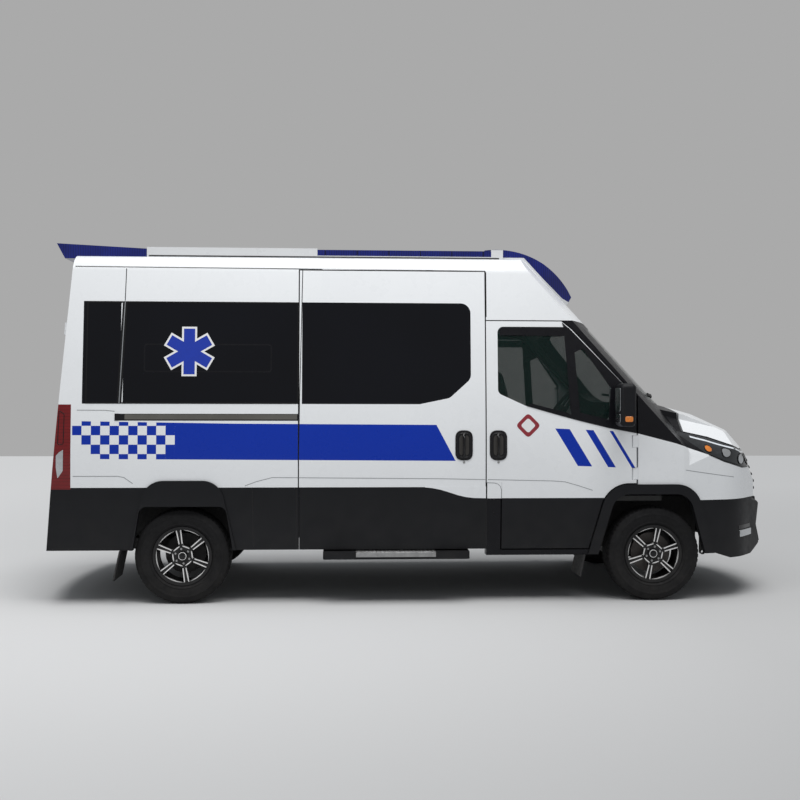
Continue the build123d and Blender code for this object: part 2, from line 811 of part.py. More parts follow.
    belt = outline((door_front_x + front_gap, 0), (door_front_x + front_gap, belt_z),
                   (belt_mid_x, belt_mid_z), (lamp_heel_x, lamp_heel_z), (lamp_chin_x, lamp_chin_rise_z),
                   (lamp_front_x, lamp_chin_z), (nose_front_x, lamp_chin_z), (nose_front_x, bumper_line_z),
                   (wing_foot_x, bumper_line_z), (wing_foot_x, 0))
    wing_space = along_y(belt, -body_far_x, -lamp_inner_y) - along_y(front_flare(), -body_far_x, 0)
    wing = shell & wing_space & right(0, nose_front_x, door_foot_front_z - overrun, belt_z + overrun)
    wing = wing - right(0, nose_axis_x + overrun, 0, body_top_z)
    arms = [Pos(axis_x, -axis_y, z) * hinge_arm(door_hinge_inset + front_gap + hinge_eye_radius,
                                                hinge_eye_radius) for z in door_hinge_heights]
    for arm in arms:
        wing = wing + arm
    parts["front_wings"] = solids(*both(wing))

    bumper_side = outline((wing_foot_x, bumper_line_z), (nose_front_x + overrun, bumper_line_z),
                          (nose_front_x + overrun, bumper_foot_z), (tow_hook_x + wall, bumper_foot_z),
                          (bumper_heel_x, arch_foot_z), (wing_foot_x, arch_foot_z))
    bumper_space = along_y(bumper_side, -body_far_x, body_far_x) - along_y(front_flare(), -body_far_x,
                                                                           body_far_x)
    bumper_space = bumper_space & block(front_axle_x, body_far_x, -body_far_x, body_far_x, 0, body_top_z)
    parts["front_bumper"] = shell & bumper_space
    parts["grille"] = shell & block(engine_front_x, body_far_x, -lamp_inner_y, lamp_inner_y, bumper_line_z,
                                    bonnet_front_z - bonnet_gap)

    frame_space = outline((post_x, door_sill_z - frame_sill), (post_x, cap_seam_z), (body_far_x, cap_seam_z),
                          (body_far_x, belt_z - overrun), (lamp_heel_x, lamp_heel_z),
                          (belt_mid_x, belt_mid_z), (door_front_x + front_gap, belt_z),
                          (door_front_x + front_gap, door_sill_z - frame_sill))
    frame = (outer - frame_inner) & along_y(frame_space, -body_far_x, body_far_x)
    frame = frame & block(post_x, lamp_heel_x, -body_far_x, body_far_x, 0, body_top_z)
    frame = frame - along_y(front_flare(), -body_far_x, body_far_x)
    frame = frame - windscreen_space - bonnet_region(bonnet_gap)
    for space in both(lamp_space):
        frame = frame - space
    pocket = (proud - pocket_floor) & along_y(door_outline(door_gap), -body_far_x, 0)
    front_edge = right(door_front_x, door_front_x + front_gap, 0, door_nose_z + front_gap) & (
        proud - pocket_floor)
    opening = along_y(offset(door_outline(), -frame_lip, kind=Kind.INTERSECTION), -body_far_x, 0)
    for space in both(pocket) + both(opening) + both(front_edge):
        frame = frame - space
    parts["cab_frame"] = frame
    return parts


def door_axis():
    """Where the front door's hinge pins stand: x, and distance from the centre plane."""
    return door_front_x - door_hinge_inset, waist_skin_y - door_hinge_inset


def tyre():
    """One tyre about Y at the origin, with swelling walls and rounded shoulders."""
    half = tyre_width / 2
    tread = tyre_tread_width / 2
    bead = rim_width / 2 - rim_wall
    lip_top = rim_radius + rim_lip
    profile = outline((-bead, rim_radius), (-bead, lip_top), (-half, (rim_radius + tyre_radius) / 2),
                      (-tread, tyre_radius), (tread, tyre_radius),
                      (half, (rim_radius + tyre_radius) / 2), (bead, lip_top), (bead, rim_radius))
    bent = [v for v in profile.vertices() if v.Y > lip_top + seam]
    profile = fillet(bent, tyre_wall_round)
    face = Plane(origin=(0, 0, 0), x_dir=(0, 1, 0), z_dir=(1, 0, 0)) * profile
    return revolve(face, Axis.Y, 360)


def rim():
    """One wheel about Y, its face towards -Y: barrel, lips and a face with six twin spokes."""
    half = rim_width / 2
    barrel = outline((-half, rim_radius), (-half, rim_radius + rim_lip), (-half + rim_wall, rim_radius + rim_lip),
                     (-half + rim_wall, rim_radius), (half - rim_wall, rim_radius),
                     (half - rim_wall, rim_radius + rim_lip), (half, rim_radius + rim_lip),
                     (half, rim_radius - rim_wall), (-half, rim_radius - rim_wall))
    plane = Plane(origin=(0, 0, 0), x_dir=(0, 1, 0), z_dir=(1, 0, 0))
    wheel = revolve(plane * barrel, Axis.Y, 360)
    face_y = -half + rim_face_in
    disc = outline((face_y, 0), (face_y - rim_dish, rim_hub_radius), (face_y - rim_lean, rim_radius - rim_wall / 2),
                   (face_y - rim_lean + rim_face_thick, rim_radius - rim_wall / 2),
                   (face_y + rim_face_thick, rim_hub_radius), (face_y + rim_face_thick + rim_dish, 0))
    face = revolve(plane * disc, Axis.Y, 360)
    pitch = 360 / spoke_count
    inner_half = (pi * rim_window_inner / spoke_count) - rim_spoke / 2
    outer_half = (pi * rim_window_outer / spoke_count) - rim_spoke / 2
    window = outline((rim_window_inner, -inner_half), (rim_window_outer, -outer_half),
                     (rim_window_outer + rim_divider, 0), (rim_window_outer, outer_half),
                     (rim_window_inner, inner_half))
    window = fillet(window.vertices(), rim_divider / 2)
    cutter = along_y(window, -rim_width, rim_width)
    for turn in range(spoke_count):
        face = face - Rot(0, turn * pitch, 0) * cutter
    bore = rod((0, face_y + hub_cap, 0), (0, rim_width, 0), hub_bore_radius)
    return (wheel + face) - bore


def wheel_set():
    """The four wheels as rims and tyres; the rear pair is turned a little, as it stands."""
    parts = {}
    for end, x, turn in (("front", front_axle_x, front_rim_turn), ("rear", rear_axle_x, rear_rim_turn)):
        at = Pos(x, -wheel_y, tyre_radius)
        right_rim = at * Rot(0, turn, 0) * rim()
        right_tyre = at * tyre()
        parts["rim_%s_right" % end] = right_rim
        parts["rim_%s_left" % end] = other_side(right_rim)
        parts["tyre_%s_right" % end] = right_tyre
        parts["tyre_%s_left" % end] = other_side(right_tyre)
    return parts


def spindle_tip_y():
    """How far out the spindles reach inside the hubs."""
    return wheel_y + rim_width / 2 - rim_face_in - hub_cap - bearing_gap


def knuckle():
    """The right-hand steering knuckle: an upright post with pins, spindle and brake disc."""
    at = Pos(front_axle_x, -king_pin_y, tyre_radius)
    post = Cylinder(knuckle_radius, knuckle_height)
    pins = Cylinder(king_pin_radius, knuckle_height + 2 * knuckle_ear)
    spindle_end = spindle_tip_y() - king_pin_y
    spindle = rod((0, 0, 0), (0, -spindle_end, 0), spindle_radius)
    disc = rod((0, -disc_in, 0), (0, -disc_in - disc_thick, 0), disc_radius)
    lever = block(-steer_arm_length, 0, -arm_thick / 2, arm_thick / 2, -arm_thick / 2, arm_thick / 2)
    return at * (post + pins + spindle + disc + Pos(0, arm_thick / 2, 0) * lever)


def front_axle():
    """The front subframe with upper and lower arms that carry the king pins."""
    frame = block(front_axle_x - subframe_half_length, front_axle_x + subframe_half_length,
                  -subframe_half_width, subframe_half_width, subframe_z, subframe_z + subframe_height)
    turrets = [block(front_axle_x - turret_half, front_axle_x + turret_half, y - turret_half, y + turret_half,
                     subframe_z, rail_foot()) for y in (-rail_half_gap + wall, rail_half_gap - wall)]
    eye_low = tyre_radius - knuckle_height / 2 - knuckle_ear
    eye_high = tyre_radius + knuckle_height / 2 + hinge_slack
    arms = []
    for z in (eye_low, eye_high):
        height = knuckle_ear - hinge_slack
        eye = Pos(front_axle_x, -king_pin_y, z) * Cylinder(
            knuckle_radius, height, align=(Align.CENTER, Align.CENTER, Align.MIN))
        bar = block(front_axle_x - arm_width / 2, front_axle_x + arm_width / 2,
                    -king_pin_y + knuckle_radius / 2, -arm_inner_y, z, z + height)
        hole = Pos(front_axle_x, -king_pin_y, z - overrun / 2) * Cylinder(
            king_pin_radius + bearing_gap, overrun, align=(Align.CENTER, Align.CENTER, Align.MIN))
        arms.append((eye + bar) - hole)
    whole = frame
    for turret in turrets:
        whole = whole + turret
    for arm in arms:
        whole = whole + arm + other_side(arm)
    return whole


def rear_axle():
    """The live rear axle: tube, bevel housing, spindles and brake discs."""
    at = Pos(rear_axle_x, 0, tyre_radius)
    tube_end = wheel_y - rim_width / 2 + rim_tube_in
    body = rod((0, -tube_end, 0), (0, tube_end, 0), axle_tube_radius) + Sphere(axle_ball_radius)
    spindle_end = spindle_tip_y()
    body = body + rod((0, -spindle_end, 0), (0, spindle_end, 0), spindle_radius)
    for side in (-1, 1):
        body = body + rod((0, side * (tube_end - disc_thick), 0), (0, side * tube_end, 0), disc_radius)
    nose_piece = rod((0, 0, 0), (pinion_length, 0, 0), axle_tube_radius)
    axle = at * (body + nose_piece)
    for pack in leaf_springs():
        axle = axle + pack
    return axle


def leaf_springs():
    """Two packs of leaves under the frame rails, each clamped to the axle tube."""
    packs = []
    foot_z = tyre_radius + axle_tube_radius - spring_thick / 2
    for side in (-1, 1):
        pack = None
        for leaf in range(spring_leaves):
            half = spring_half_length * (spring_leaves - leaf) / spring_leaves
            z = foot_z + (spring_leaves - 1 - leaf) * spring_thick
            plate = block(rear_axle_x - half, rear_axle_x + half, side * spring_y - spring_width / 2,
                          side * spring_y + spring_width / 2, z, z + spring_thick)
            pack = plate if pack is None else pack + plate
        top = foot_z + spring_leaves * spring_thick
        for end in (-1, 1):
            x = rear_axle_x + end * (spring_half_length - spring_width / 2)
            hanger = block(x - spring_width / 2, x + spring_width / 2, side * spring_y - spring_width / 2,
                           side * spring_y + spring_width / 2, top - spring_thick, hanger_top_z)
            pack = pack + hanger
        packs.append(pack)
    return packs


def rail_foot():
    """The height of the frame rails' undersides."""
    return floor_top_z - floor_thick - chassis_rail_height


def chassis(inside):
    """Ladder frame: two rails with spring hangers and tow eyes, and the members between and beside them."""
    parts = {}
    rails = None
    for side in (-1, 1):
        y = side * rail_half_gap
        rail = block(-chassis_end_x, chassis_end_x, y - chassis_rail_width / 2, y + chassis_rail_width / 2,
                     rail_foot(), rail_foot() + chassis_rail_height)
        rails = rail if rails is None else rails + rail
    inner_y = rail_half_gap - chassis_rail_width / 2
    outer_y = rail_half_gap + chassis_rail_width / 2
    members = [block(x - cross_member / 2, x + cross_member / 2, -inner_y, inner_y, rail_foot() + seam,
                     rail_foot() + chassis_rail_height - seam) for x in cross_member_xs]
    for x in outrigger_xs:
        for y_low, y_high in ((-waist_half_width, -outer_y), (-inner_y, inner_y), (outer_y, waist_half_width)):
            members.append(inside & block(x - cross_member / 2, x + cross_member / 2, y_low, y_high,
                                          rail_foot() + chassis_rail_height - cross_member,
                                          rail_foot() + chassis_rail_height))
    for side in (-1, 1):
        ear = block(tow_hook_x - tow_eye_radius, tow_hook_x + tow_eye_radius, side * rail_half_gap - tow_thick / 2,
                    side * rail_half_gap + tow_thick / 2, tow_hook_foot_z + tow_eye_radius, rail_foot())
        eye = Pos(tow_hook_x, side * rail_half_gap, tow_hook_foot_z + tow_eye_radius) * Rot(90, 0, 0)
        rails = rails + ear + eye * Cylinder(tow_eye_radius, tow_thick)
        rails = rails - eye * Cylinder(tow_bore_radius, overrun / 2)
        for end in (-1, 1):
            x = rear_axle_x + end * (spring_half_length - spring_width / 2)
            y_out = side * (spring_y + spring_width / 2)
            y_rail = side * rail_half_gap
            rails = rails + block(x - spring_width / 2, x + spring_width / 2, min(y_out, y_rail),
                                  max(y_out, y_rail), rail_foot(), rail_foot() + chassis_rail_height)
            y_in = side * (spring_y - spring_width / 2)
            rails = rails + block(x - spring_width / 2, x + spring_width / 2, min(y_out, y_in),
                                  max(y_out, y_in), hanger_top_z, rail_foot())
    parts["chassis"] = rails & inside
    parts["cross_members"] = solids(*members)
    return parts


def floor_plate(inside, lining):
    """The floor of load space and cab with the firewall at its front end."""
    slab = block(floor_rear_x, firewall_x, -body_far_x, body_far_x, floor_top_z - floor_thick, floor_top_z)
    bulkhead = block(firewall_x - floor_thick, firewall_x, -firewall_half, firewall_half,
                     floor_top_z - floor_thick, firewall_top_z)
    plate = (inside & slab & block(-body_far_x, post_x, -body_far_x, body_far_x, 0, body_top_z)) + (
        lining & slab & block(post_x - wall, body_far_x, -body_far_x, body_far_x, 0, body_top_z))
    stretcher_plate = block(stretcher_rear_x, stretcher_front_x, -stretcher_half_width, stretcher_half_width,
                            floor_top_z - floor_thick, floor_top_z + stretcher_plate_rise)
    return plate + (lining & bulkhead) + stretcher_plate


def cab_parts(inside, lining):
    """Partition, dashboard, steering wheel and seats."""
    parts = {}
    sheet_metal = block(partition_x - partition_thick, partition_x, -body_far_x, body_far_x, floor_top_z,
                        body_top_z)
    hatch = outline((-hatch_half, hatch_foot_z), (hatch_half, hatch_foot_z), (hatch_half, hatch_top_z),
                    (-hatch_half, hatch_top_z))
    hatch = along_x(fillet(hatch.vertices(), pane_corner), partition_x - overrun, partition_x + overrun)
    parts["partition"] = (inside & sheet_metal) - hatch
    side = outline((dash_front_x, dash_foot_z), (dash_front_x, dash_top_z - dash_fall),
                   (dash_rear_x + dash_round, dash_top_z), (dash_rear_x, dash_top_z - dash_round),
                   (dash_rear_x + dash_round, dash_foot_z))
    dash = along_y(fillet(side.vertices(), dash_round / 4), -dash_half_width, dash_half_width) & lining
    console = block(dash_rear_x + dash_round, firewall_x - floor_thick, -console_half, console_half,
                    floor_top_z, dash_foot_z + dash_round)
    dash = dash + console
    wheel_at = Plane(origin=(steering_wheel_x, steering_wheel_y, steering_wheel_z),
                     z_dir=(-cos(radians(steering_tilt)), 0, sin(radians(steering_tilt))))
    column_end = wheel_at.origin - wheel_at.z_dir * column_length
    dash = dash + rod(wheel_at.origin - wheel_at.z_dir * (hub_thick / 2), column_end, column_radius)
    parts["dashboard"] = dash
    ring = Torus(steering_wheel_radius, steering_wheel_tube)
    hub = Cylinder(steering_hub_radius, hub_thick)
    spokes = None
    for angle in (0, 180, 270):
        spoke = Rot(0, 0, angle) * block(0, steering_wheel_radius, -steering_wheel_tube, steering_wheel_tube,
                                         -steering_wheel_tube / 2, steering_wheel_tube / 2)
        spokes = spoke if spokes is None else spokes + spoke
    parts["steering_wheel"] = wheel_at * (ring + hub + spokes)
    seat_list = []
    for y in (-seat_y, seat_y):
        base = block(seat_x, seat_x + seat_length, y - seat_width / 2 + wall, y + seat_width / 2 - wall,
                     floor_top_z, floor_top_z + seat_base_height)
        top = floor_top_z + seat_base_height
        cushion = block(seat_x, seat_x + seat_length, y - seat_width / 2, y + seat_width / 2, top,
                        top + seat_cushion)
        back = block(-seat_back_thick, 0, -seat_width / 2, seat_width / 2, 0, seat_back_height)
        rest = block(-seat_back_thick + headrest_gap, -headrest_gap, -headrest_width / 2, headrest_width / 2,
                     seat_back_height - headrest_gap, seat_back_height + headrest_height)
        lean = Pos(seat_x + seat_back_thick, y, top + seat_cushion / 2) * Rot(0, -seat_back_lean, 0)
        seat_list.append(base + cushion + lean * (back + rest))
    parts["cab_seats"] = solids(*seat_list)
    return parts


def roof_gear(outer, proud):
    """Side rails, blue lamp bars, the rear lamp wing and the domed front lamp on its base."""
    parts = {}
    rail_list = []
    blue = []
    for side in (-1, 1):
        y_low = side * rail_y - rail_width / 2
        rear = block(rail_rear_x, side_bar_rear_x, y_low, y_low + rail_width, gutter_z, rail_top_z)
        cap = block(side_bar_front_x, side_bar_front_x + cap_length, y_low, y_low + rail_width, gutter_z,
                    rail_top_z)
        foot = block(side_bar_rear_x, side_bar_front_x, y_low, y_low + rail_width, gutter_z, rail_foot_z)
        rail_list.append((rear + foot + cap) - outer)
        blue.append(block(side_bar_rear_x, side_bar_front_x, y_low, y_low + rail_width, rail_foot_z,
                          side_bar_top_z))
    side = outline((rail_rear_x, gutter_z), (rail_rear_x, rear_wing_top_z - rear_wing_drop),
                   (rear_wing_tip_x, rear_wing_top_z), (rear_wing_tip_x + wing_heel, rear_wing_low_z),
                   (rear_head_x, rear_wing_low_z), (rear_head_x + wall, gutter_z))
    wing = along_y(side, -rear_wing_half_width, rear_wing_half_width)
    hollow = block(rear_head_x + wing_depth, rail_rear_x + overrun, -rear_wing_half_width + rail_width,
                   rear_wing_half_width - rail_width, 0, body_top_z)
    blue.append((wing - hollow) - outer)
    plan = outline((dome_rear_x - overrun, -dome_half_width), (dome_corner_x, -dome_half_width),
                   (dome_tip_x, -dome_tip_half_width), (dome_tip_x, dome_tip_half_width),
                   (dome_corner_x, dome_half_width), (dome_rear_x - overrun, dome_half_width))
    plan = fillet([v for v in plan.vertices() if v.X > dome_rear_x], dome_corner_radius)
    column = along_z(plan, cap_seam_z, body_top_z)
    lens = (dome_form(dome_lens_drop) & column) - proud
    base = (dome_form(dome_base_drop) & column) - outer - lens
    parts["blue_lamps"] = solids(*blue, lens)
    parts["roof_rails"] = solids(*rail_list, base)
    return parts


def dome_form(drop):
    """A bowed bar over the cab's brow: an arc above its chord and a flat sole below it."""
    run = hypot(dome_foot_x - dome_rear_x, dome_rear_z - dome_foot_z)
    at = Plane(origin=(dome_rear_x, 0, dome_rear_z), x_dir=(dome_foot_x - dome_rear_x, 0, dome_foot_z - dome_rear_z),
               z_dir=(0, -1, 0))
    profile = make_face([ThreePointArc((0, 0), (run / 2, dome_bulge), (run, 0)), Line((run, 0), (run, -drop)),
                         Line((run, -drop), (0, -drop)), Line((0, -drop), (0, 0))])
    turned = Pos(dome_axis_x, 0, 0) * Rot(0, 0, -dome_sweep / 2) * Pos(-dome_axis_x, 0, 0)
    return revolve(turned * (at * profile), Axis((dome_axis_x, 0, 0), (0, 0, 1)), dome_sweep)


def ends_and_sides(outer):
    """Rear step, side step, mud flaps and mirrors."""
    parts = {}
    half = step_half_width
    plan = make_face([
        ThreePointArc((step_rear_x + step_corner_drop, -half), (step_rear_x, 0),
                      (step_rear_x + step_corner_drop, half)),
        Line((step_rear_x + step_corner_drop, half), (rear_bumper_front_x, half)),
        Line((rear_bumper_front_x, half), (rear_bumper_front_x, -half)),
        Line((rear_bumper_front_x, -half), (step_rear_x + step_corner_drop, -half))])
    parts["rear_step"] = along_z(plan, step_foot_z, step_top_z) - outer
    tread = block(side_step_rear_x, side_step_front_x, -side_step_out, -side_step_in, side_step_foot_z,
                  side_step_top_z)
    ends = [e for e in tread.edges().filter_by(Axis.Z) if e.center().Y < -side_step_out + seam]
    tread = fillet(ends, side_step_round)
    for x in bracket_xs:
        tread = tread + block(x - bracket_width / 2, x + bracket_width / 2, -side_step_in - bracket_thick,
                              -side_step_in, side_step_foot_z, rail_foot() + chassis_rail_height - cross_member)
    parts["side_step"] = tread
    flaps = []
    for x, foot, top in ((front_mud_flap_x, front_mud_flap_foot_z, door_sill_z - frame_sill),
                         (rear_mud_flap_x, rear_mud_flap_foot_z, cladding_foot_z)):
        flap = Pos(x, -wheel_y, top) * Rot(0, mud_flap_lean, 0) * block(
            -flap_thick / 2, flap_thick / 2, -flap_width / 2, flap_width / 2, foot - top, flap_thick)
        flaps.extend(both(flap & block(-body_far_x, body_far_x, -body_far_x, body_far_x, 0, top)))
    parts["mud_flaps"] = solids(*flaps)
    head = block(mirror_x - mirror_length / 2, mirror_x + mirror_length / 2, -mirror_y - mirror_width / 2,
                 -mirror_y + mirror_width / 2, mirror_foot_z, mirror_top_z)
    head = fillet(head.edges(), mirror_round)
    arm = rod((mirror_x, -mirror_y, mirror_arm_z), (mirror_x + mirror_arm_forward, -mirror_root_y, mirror_arm_z),
              mirror_arm_radius)
    mirror_right = (head + arm) - outer
    mirror_right = solids(sorted(mirror_right.solids(), key=lambda s: s.volume)[-1])
    parts["mirror_right"] = mirror_right
    parts["mirror_left"] = other_side(mirror_right)
    return parts


def underbody():
    """Fuel tank, exhaust with silencer, and the propeller shaft."""
    tank = block(tank_x, tank_x + tank_length, tank_y - tank_width / 2, tank_y + tank_width / 2,
                 rail_foot() + chassis_rail_height - cross_member - tank_height,
                 rail_foot() + chassis_rail_height - cross_member)
    tank = fillet(tank.edges().filter_by(Axis.X), tank_round)
    pipe_z = rail_foot() + seam - exhaust_radius
    pipe = rod((exhaust_front_x, -exhaust_y, pipe_z), (exhaust_rear_x, -exhaust_y, pipe_z), exhaust_radius)
    silencer = rod((silencer_x, -exhaust_y, pipe_z - silencer_drop),
                   (silencer_x - silencer_length, -exhaust_y, pipe_z - silencer_drop), silencer_radius)
    shaft_rear_x = rear_axle_x + pinion_length
    shaft_front_x = engine_rear_x - gearbox_length
    rise = (engine_foot_z - tyre_radius) / (shaft_front_x - shaft_rear_x)
    shaft = rod((shaft_rear_x - wall, 0, tyre_radius - wall * rise),
                (shaft_front_x + wall, 0, engine_foot_z + wall * rise), shaft_radius)
    shaft = shaft & block(shaft_rear_x, shaft_front_x, -body_far_x, body_far_x, 0, body_top_z)
    return solids(tank, pipe + silencer, shaft)


def engine():
    """The engine and gearbox as one block on its mounts, with the radiator ahead of it."""
    block_part = block(engine_rear_x, engine_front_x, -engine_half_width, engine_half_width, engine_foot_z,
                       engine_top_z)
    gearbox = block(engine_rear_x - gearbox_length, engine_rear_x, -gearbox_half, gearbox_half,
                    engine_foot_z - gearbox_half / 2, engine_foot_z + gearbox_half)
    mounts = block(engine_front_x - mount_length, engine_front_x - mount_length / 2,
                   -rail_half_gap + chassis_rail_width / 2, rail_half_gap - chassis_rail_width / 2,
                   rail_foot() + seam, rail_foot() + chassis_rail_height / 2)
    radiator = block(radiator_x, radiator_x + radiator_thick, -engine_half_width, engine_half_width,
                     engine_foot_z, engine_top_z - chassis_rail_height)
    return solids(block_part + gearbox + mounts, radiator)


def rear_hinge_place(z):
    """The frame of a rear door hinge: local X outwards, Y forwards and Z up the hinge line."""
    return Plane(origin=(rear_x(z) - rear_hinge_proud, -rear_door_half_width - door_gap / 2, z),
                 x_dir=(0, -1, 0), z_dir=(rear_lean(), 0, 1))


def rear_hinge_fixed(z):
    """Middle knuckle, pin and the strap on the corner post."""
    third = hinge_height / 3
    eye = Cylinder(hinge_eye_radius, third - hinge_slack)
    pin = Cylinder(hinge_pin_radius, hinge_height)
    strap = block(0, strap_length, rear_hinge_proud - strap_thick, rear_hinge_proud + strap_sink,
                  -third / 2 + hinge_slack, third / 2 - hinge_slack)
    return rear_hinge_place(z) * (eye + pin + strap)


def rear_hinge_moving(z):
    """Upper and lower knuckles with the straps on the door leaf."""
    third = hinge_height / 3
    half = None
    for level in (-1, 1):
        eye = Pos(0, 0, level * third) * Cylinder(hinge_eye_radius, third - hinge_slack)
        strap = block(-strap_length, 0, rear_hinge_proud - strap_thick, rear_hinge_proud + strap_sink,
                      level * third - third / 2 + hinge_slack, level * third + third / 2 - hinge_slack)
        part = eye + strap
        half = part if half is None else half + part
    half = half - Cylinder(hinge_pin_radius + bearing_gap, hinge_height + wall)
    return rear_hinge_place(z) * half


def bonnet_hinge_places():
    """Where the bonnet's two hinges stand, their pins along Y and their arms running back."""
    return [Plane(origin=(bonnet_rear_edge_x + bonnet_pin_in, y, bonnet_pin_z), x_dir=(-1, 0, 0),
                  z_dir=(0, 1, 0)) for y in (-bonnet_hinge_y, bonnet_hinge_y)]


def build():
    """All nodes of the vehicle by name."""
    outer = hull(0)
    proud = hull(-flare_proud)
    inside = hull(wall + panel_gap)
    lining = hull(2 * wall + panel_gap)
    parts = shell_parts(outer, proud)
    for z in rear_hinge_heights:
        moving = rear_hinge_moving(z)
        fixed = rear_hinge_fixed(z)
        parts["rear_door_right"] = parts["rear_door_right"] + moving
        parts["rear_door_left"] = parts["rear_door_left"] + other_side(moving)
        parts["side_wall_right"] = parts["side_wall_right"] + fixed
        parts["side_wall_left"] = parts["side_wall_left"] + other_side(fixed)
    for place in bonnet_hinge_places():
        parts["bonnet"] = parts["bonnet"] - place * hinge_pocket(wall)
        parts["cab_frame"] = parts["cab_frame"] + place * hinge_arm(bonnet_pin_in + bonnet_rear_gap + wall / 2,
                                                                    hinge_eye_radius)
    parts.update(wheel_set())
    right_knuckle = knuckle()
    parts["knuckle_right"] = right_knuckle
    parts["knuckle_left"] = other_side(right_knuckle)
    parts["front_axle"] = front_axle()
    parts["rear_axle"] = rear_axle()
    parts.update(chassis(inside))
    parts["floor"] = floor_plate(inside, lining)
    parts.update(cab_parts(inside, lining))
    parts.update(roof_gear(outer, proud))
    ends = ends_and_sides(outer)
    parts["rear_bumper"] = parts["rear_bumper"] + ends.pop("rear_step")
    parts.update(ends)
    parts["underbody"] = underbody()
    parts["engine"] = engine()
    return parts


def main():
    os.makedirs("parts", exist_ok=True)
    for name, shape in build().items():
        export_step(shape, os.path.join("parts", name + ".step"))


if __name__ == "__main__":
    main()
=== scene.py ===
import json
import math

import bmesh
import bpy
from bpy.props import FloatProperty, FloatVectorProperty, IntProperty, PointerProperty
from mathutils import Matrix, Vector
from mathutils.bvhtree import BVHTree


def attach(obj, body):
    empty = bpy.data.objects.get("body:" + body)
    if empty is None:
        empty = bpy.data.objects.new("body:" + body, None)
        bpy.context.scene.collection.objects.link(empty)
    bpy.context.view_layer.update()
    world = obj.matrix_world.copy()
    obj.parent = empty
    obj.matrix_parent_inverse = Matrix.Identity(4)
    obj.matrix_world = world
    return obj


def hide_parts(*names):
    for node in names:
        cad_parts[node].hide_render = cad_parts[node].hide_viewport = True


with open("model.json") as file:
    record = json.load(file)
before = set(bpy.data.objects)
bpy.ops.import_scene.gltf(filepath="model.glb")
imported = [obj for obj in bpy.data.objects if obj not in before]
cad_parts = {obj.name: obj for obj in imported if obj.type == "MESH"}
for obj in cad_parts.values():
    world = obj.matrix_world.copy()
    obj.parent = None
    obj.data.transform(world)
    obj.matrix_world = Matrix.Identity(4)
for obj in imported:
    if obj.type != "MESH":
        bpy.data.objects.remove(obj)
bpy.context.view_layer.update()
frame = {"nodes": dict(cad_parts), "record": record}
nodes = frame["nodes"]

bl_info = {
    "name": "Ambulance looks",
    "version": (1, 0, 0),
    "blender": (4, 5, 0),
    "location": "3D View > Sidebar > Ambulance",
    "description": "Dresses the packed ambulance: paint, bands, tyres, lamps, seals, seats and a studio",
    "category": "Object",
}

# The frame: metres, X forward, Z up, right side at -Y. A side is -1 for right and 1 for left.
SIDES = (("right", -1), ("left", 1))
# Each wheel pair: name, X and how far its spokes are turned, in degrees
WHEELS = (("front", 1.775, 12.0), ("rear", -1.745, -9.0))
WHEEL_Y = 0.86
WHEEL_Z = 0.352
SPOKES = 6
# Rays start this far out; the front corners' rays run towards these upright lines
FAR = 6.0
NOSE_X = 1.9
NOSE_Y = 0.35
WELD = 1e-6
ROAD_DUST = (0.30, 0.28, 0.25, 1.0)
SHELL = ("side_wall_right", "side_wall_left", "sliding_door", "side_windows", "front_door_right",
         "front_door_left", "front_door_cladding_right", "front_door_cladding_left",
         "front_door_glass_right", "front_door_glass_left", "side_cladding", "front_wings",
         "front_bumper", "headlamps", "cab_frame", "roof", "tail_lamps", "rear_bumper", "bonnet",
         "grille", "windscreen", "rear_door_right", "rear_door_left", "rear_door_glass_right",
         "rear_door_glass_left")
made = {}


def looks():
    return bpy.context.scene.ambulance_looks


def search_tree(*names):
    """A ray-cast tree over the named CAD nodes."""
    points, faces = [], []
    for name in names:
        mesh = nodes[name].data
        first = len(points)
        points.extend(v.co.copy() for v in mesh.vertices)
        faces.extend([first + i for i in face.vertices] for face in mesh.polygons)
    return BVHTree.FromPolygons(points, faces)


shell = search_tree(*SHELL)
gear = search_tree("roof", "roof_rails", "blue_lamps")


# Places: each turns a flat point (u, v) and a height w above the panel into a point in the frame

def cast(tree, start, direction):
    hit = tree.ray_cast(start, direction)[0]
    if hit is None:
        raise RuntimeError("no panel under the point %s" % (tuple(start),))
    return hit


def on_side(side, reach=0.0, tree=shell):
    """u is X and v is Z; reach bridges gaps by taking the outermost of the points around."""
    def place(u, v, w):
        spots = [(u, v)]
        if reach:
            spots += [(u - reach, v), (u + reach, v), (u, v - reach), (u, v + reach)]
        best = max(side * cast(tree, Vector((a, side * FAR, b)), Vector((0, -side, 0))).y for a, b in spots)
        return Vector((u, side * (best + w), v))
    return place


def on_front(u, v, w):
    """u is Y and v is Z."""
    return Vector((cast(shell, Vector((FAR, u, v)), Vector((-1, 0, 0))).x + w, u, v))


def on_back(tree=shell):
    def place(u, v, w):
        return Vector((cast(tree, Vector((-FAR, u, v)), Vector((1, 0, 0))).x - w, u, v))
    return place


def on_top(tree):
    """u is X and v is Y."""
    def place(u, v, w):
        return Vector((u, v, cast(tree, Vector((u, v, FAR)), Vector((0, 0, -1))).z + w))
    return place


def stiff(place, loop):
    """The place made flat: a stiff plate level with the panel's outermost point under the outline."""
    middle = tuple(sum((Vector(p) for p in loop), Vector((0, 0))) / len(loop))
    spots = [place(u, v, 0.0).x for u, v in list(loop) + [middle]]
    sign = 1 if spots[0] > 0 else -1
    level = max(sign * x for x in spots)
    return lambda u, v, w: Vector((sign * (level + w), u, v))


def on_corner(side):
    """u is an angle from straight ahead round to the side, in radians; v is Z."""
    def place(u, v, w):
        way = Vector((math.cos(u), side * math.sin(u), 0))
        heart = Vector((NOSE_X, side * NOSE_Y, v))
        return cast(shell, heart + way * FAR, -way) + way * w
    return place


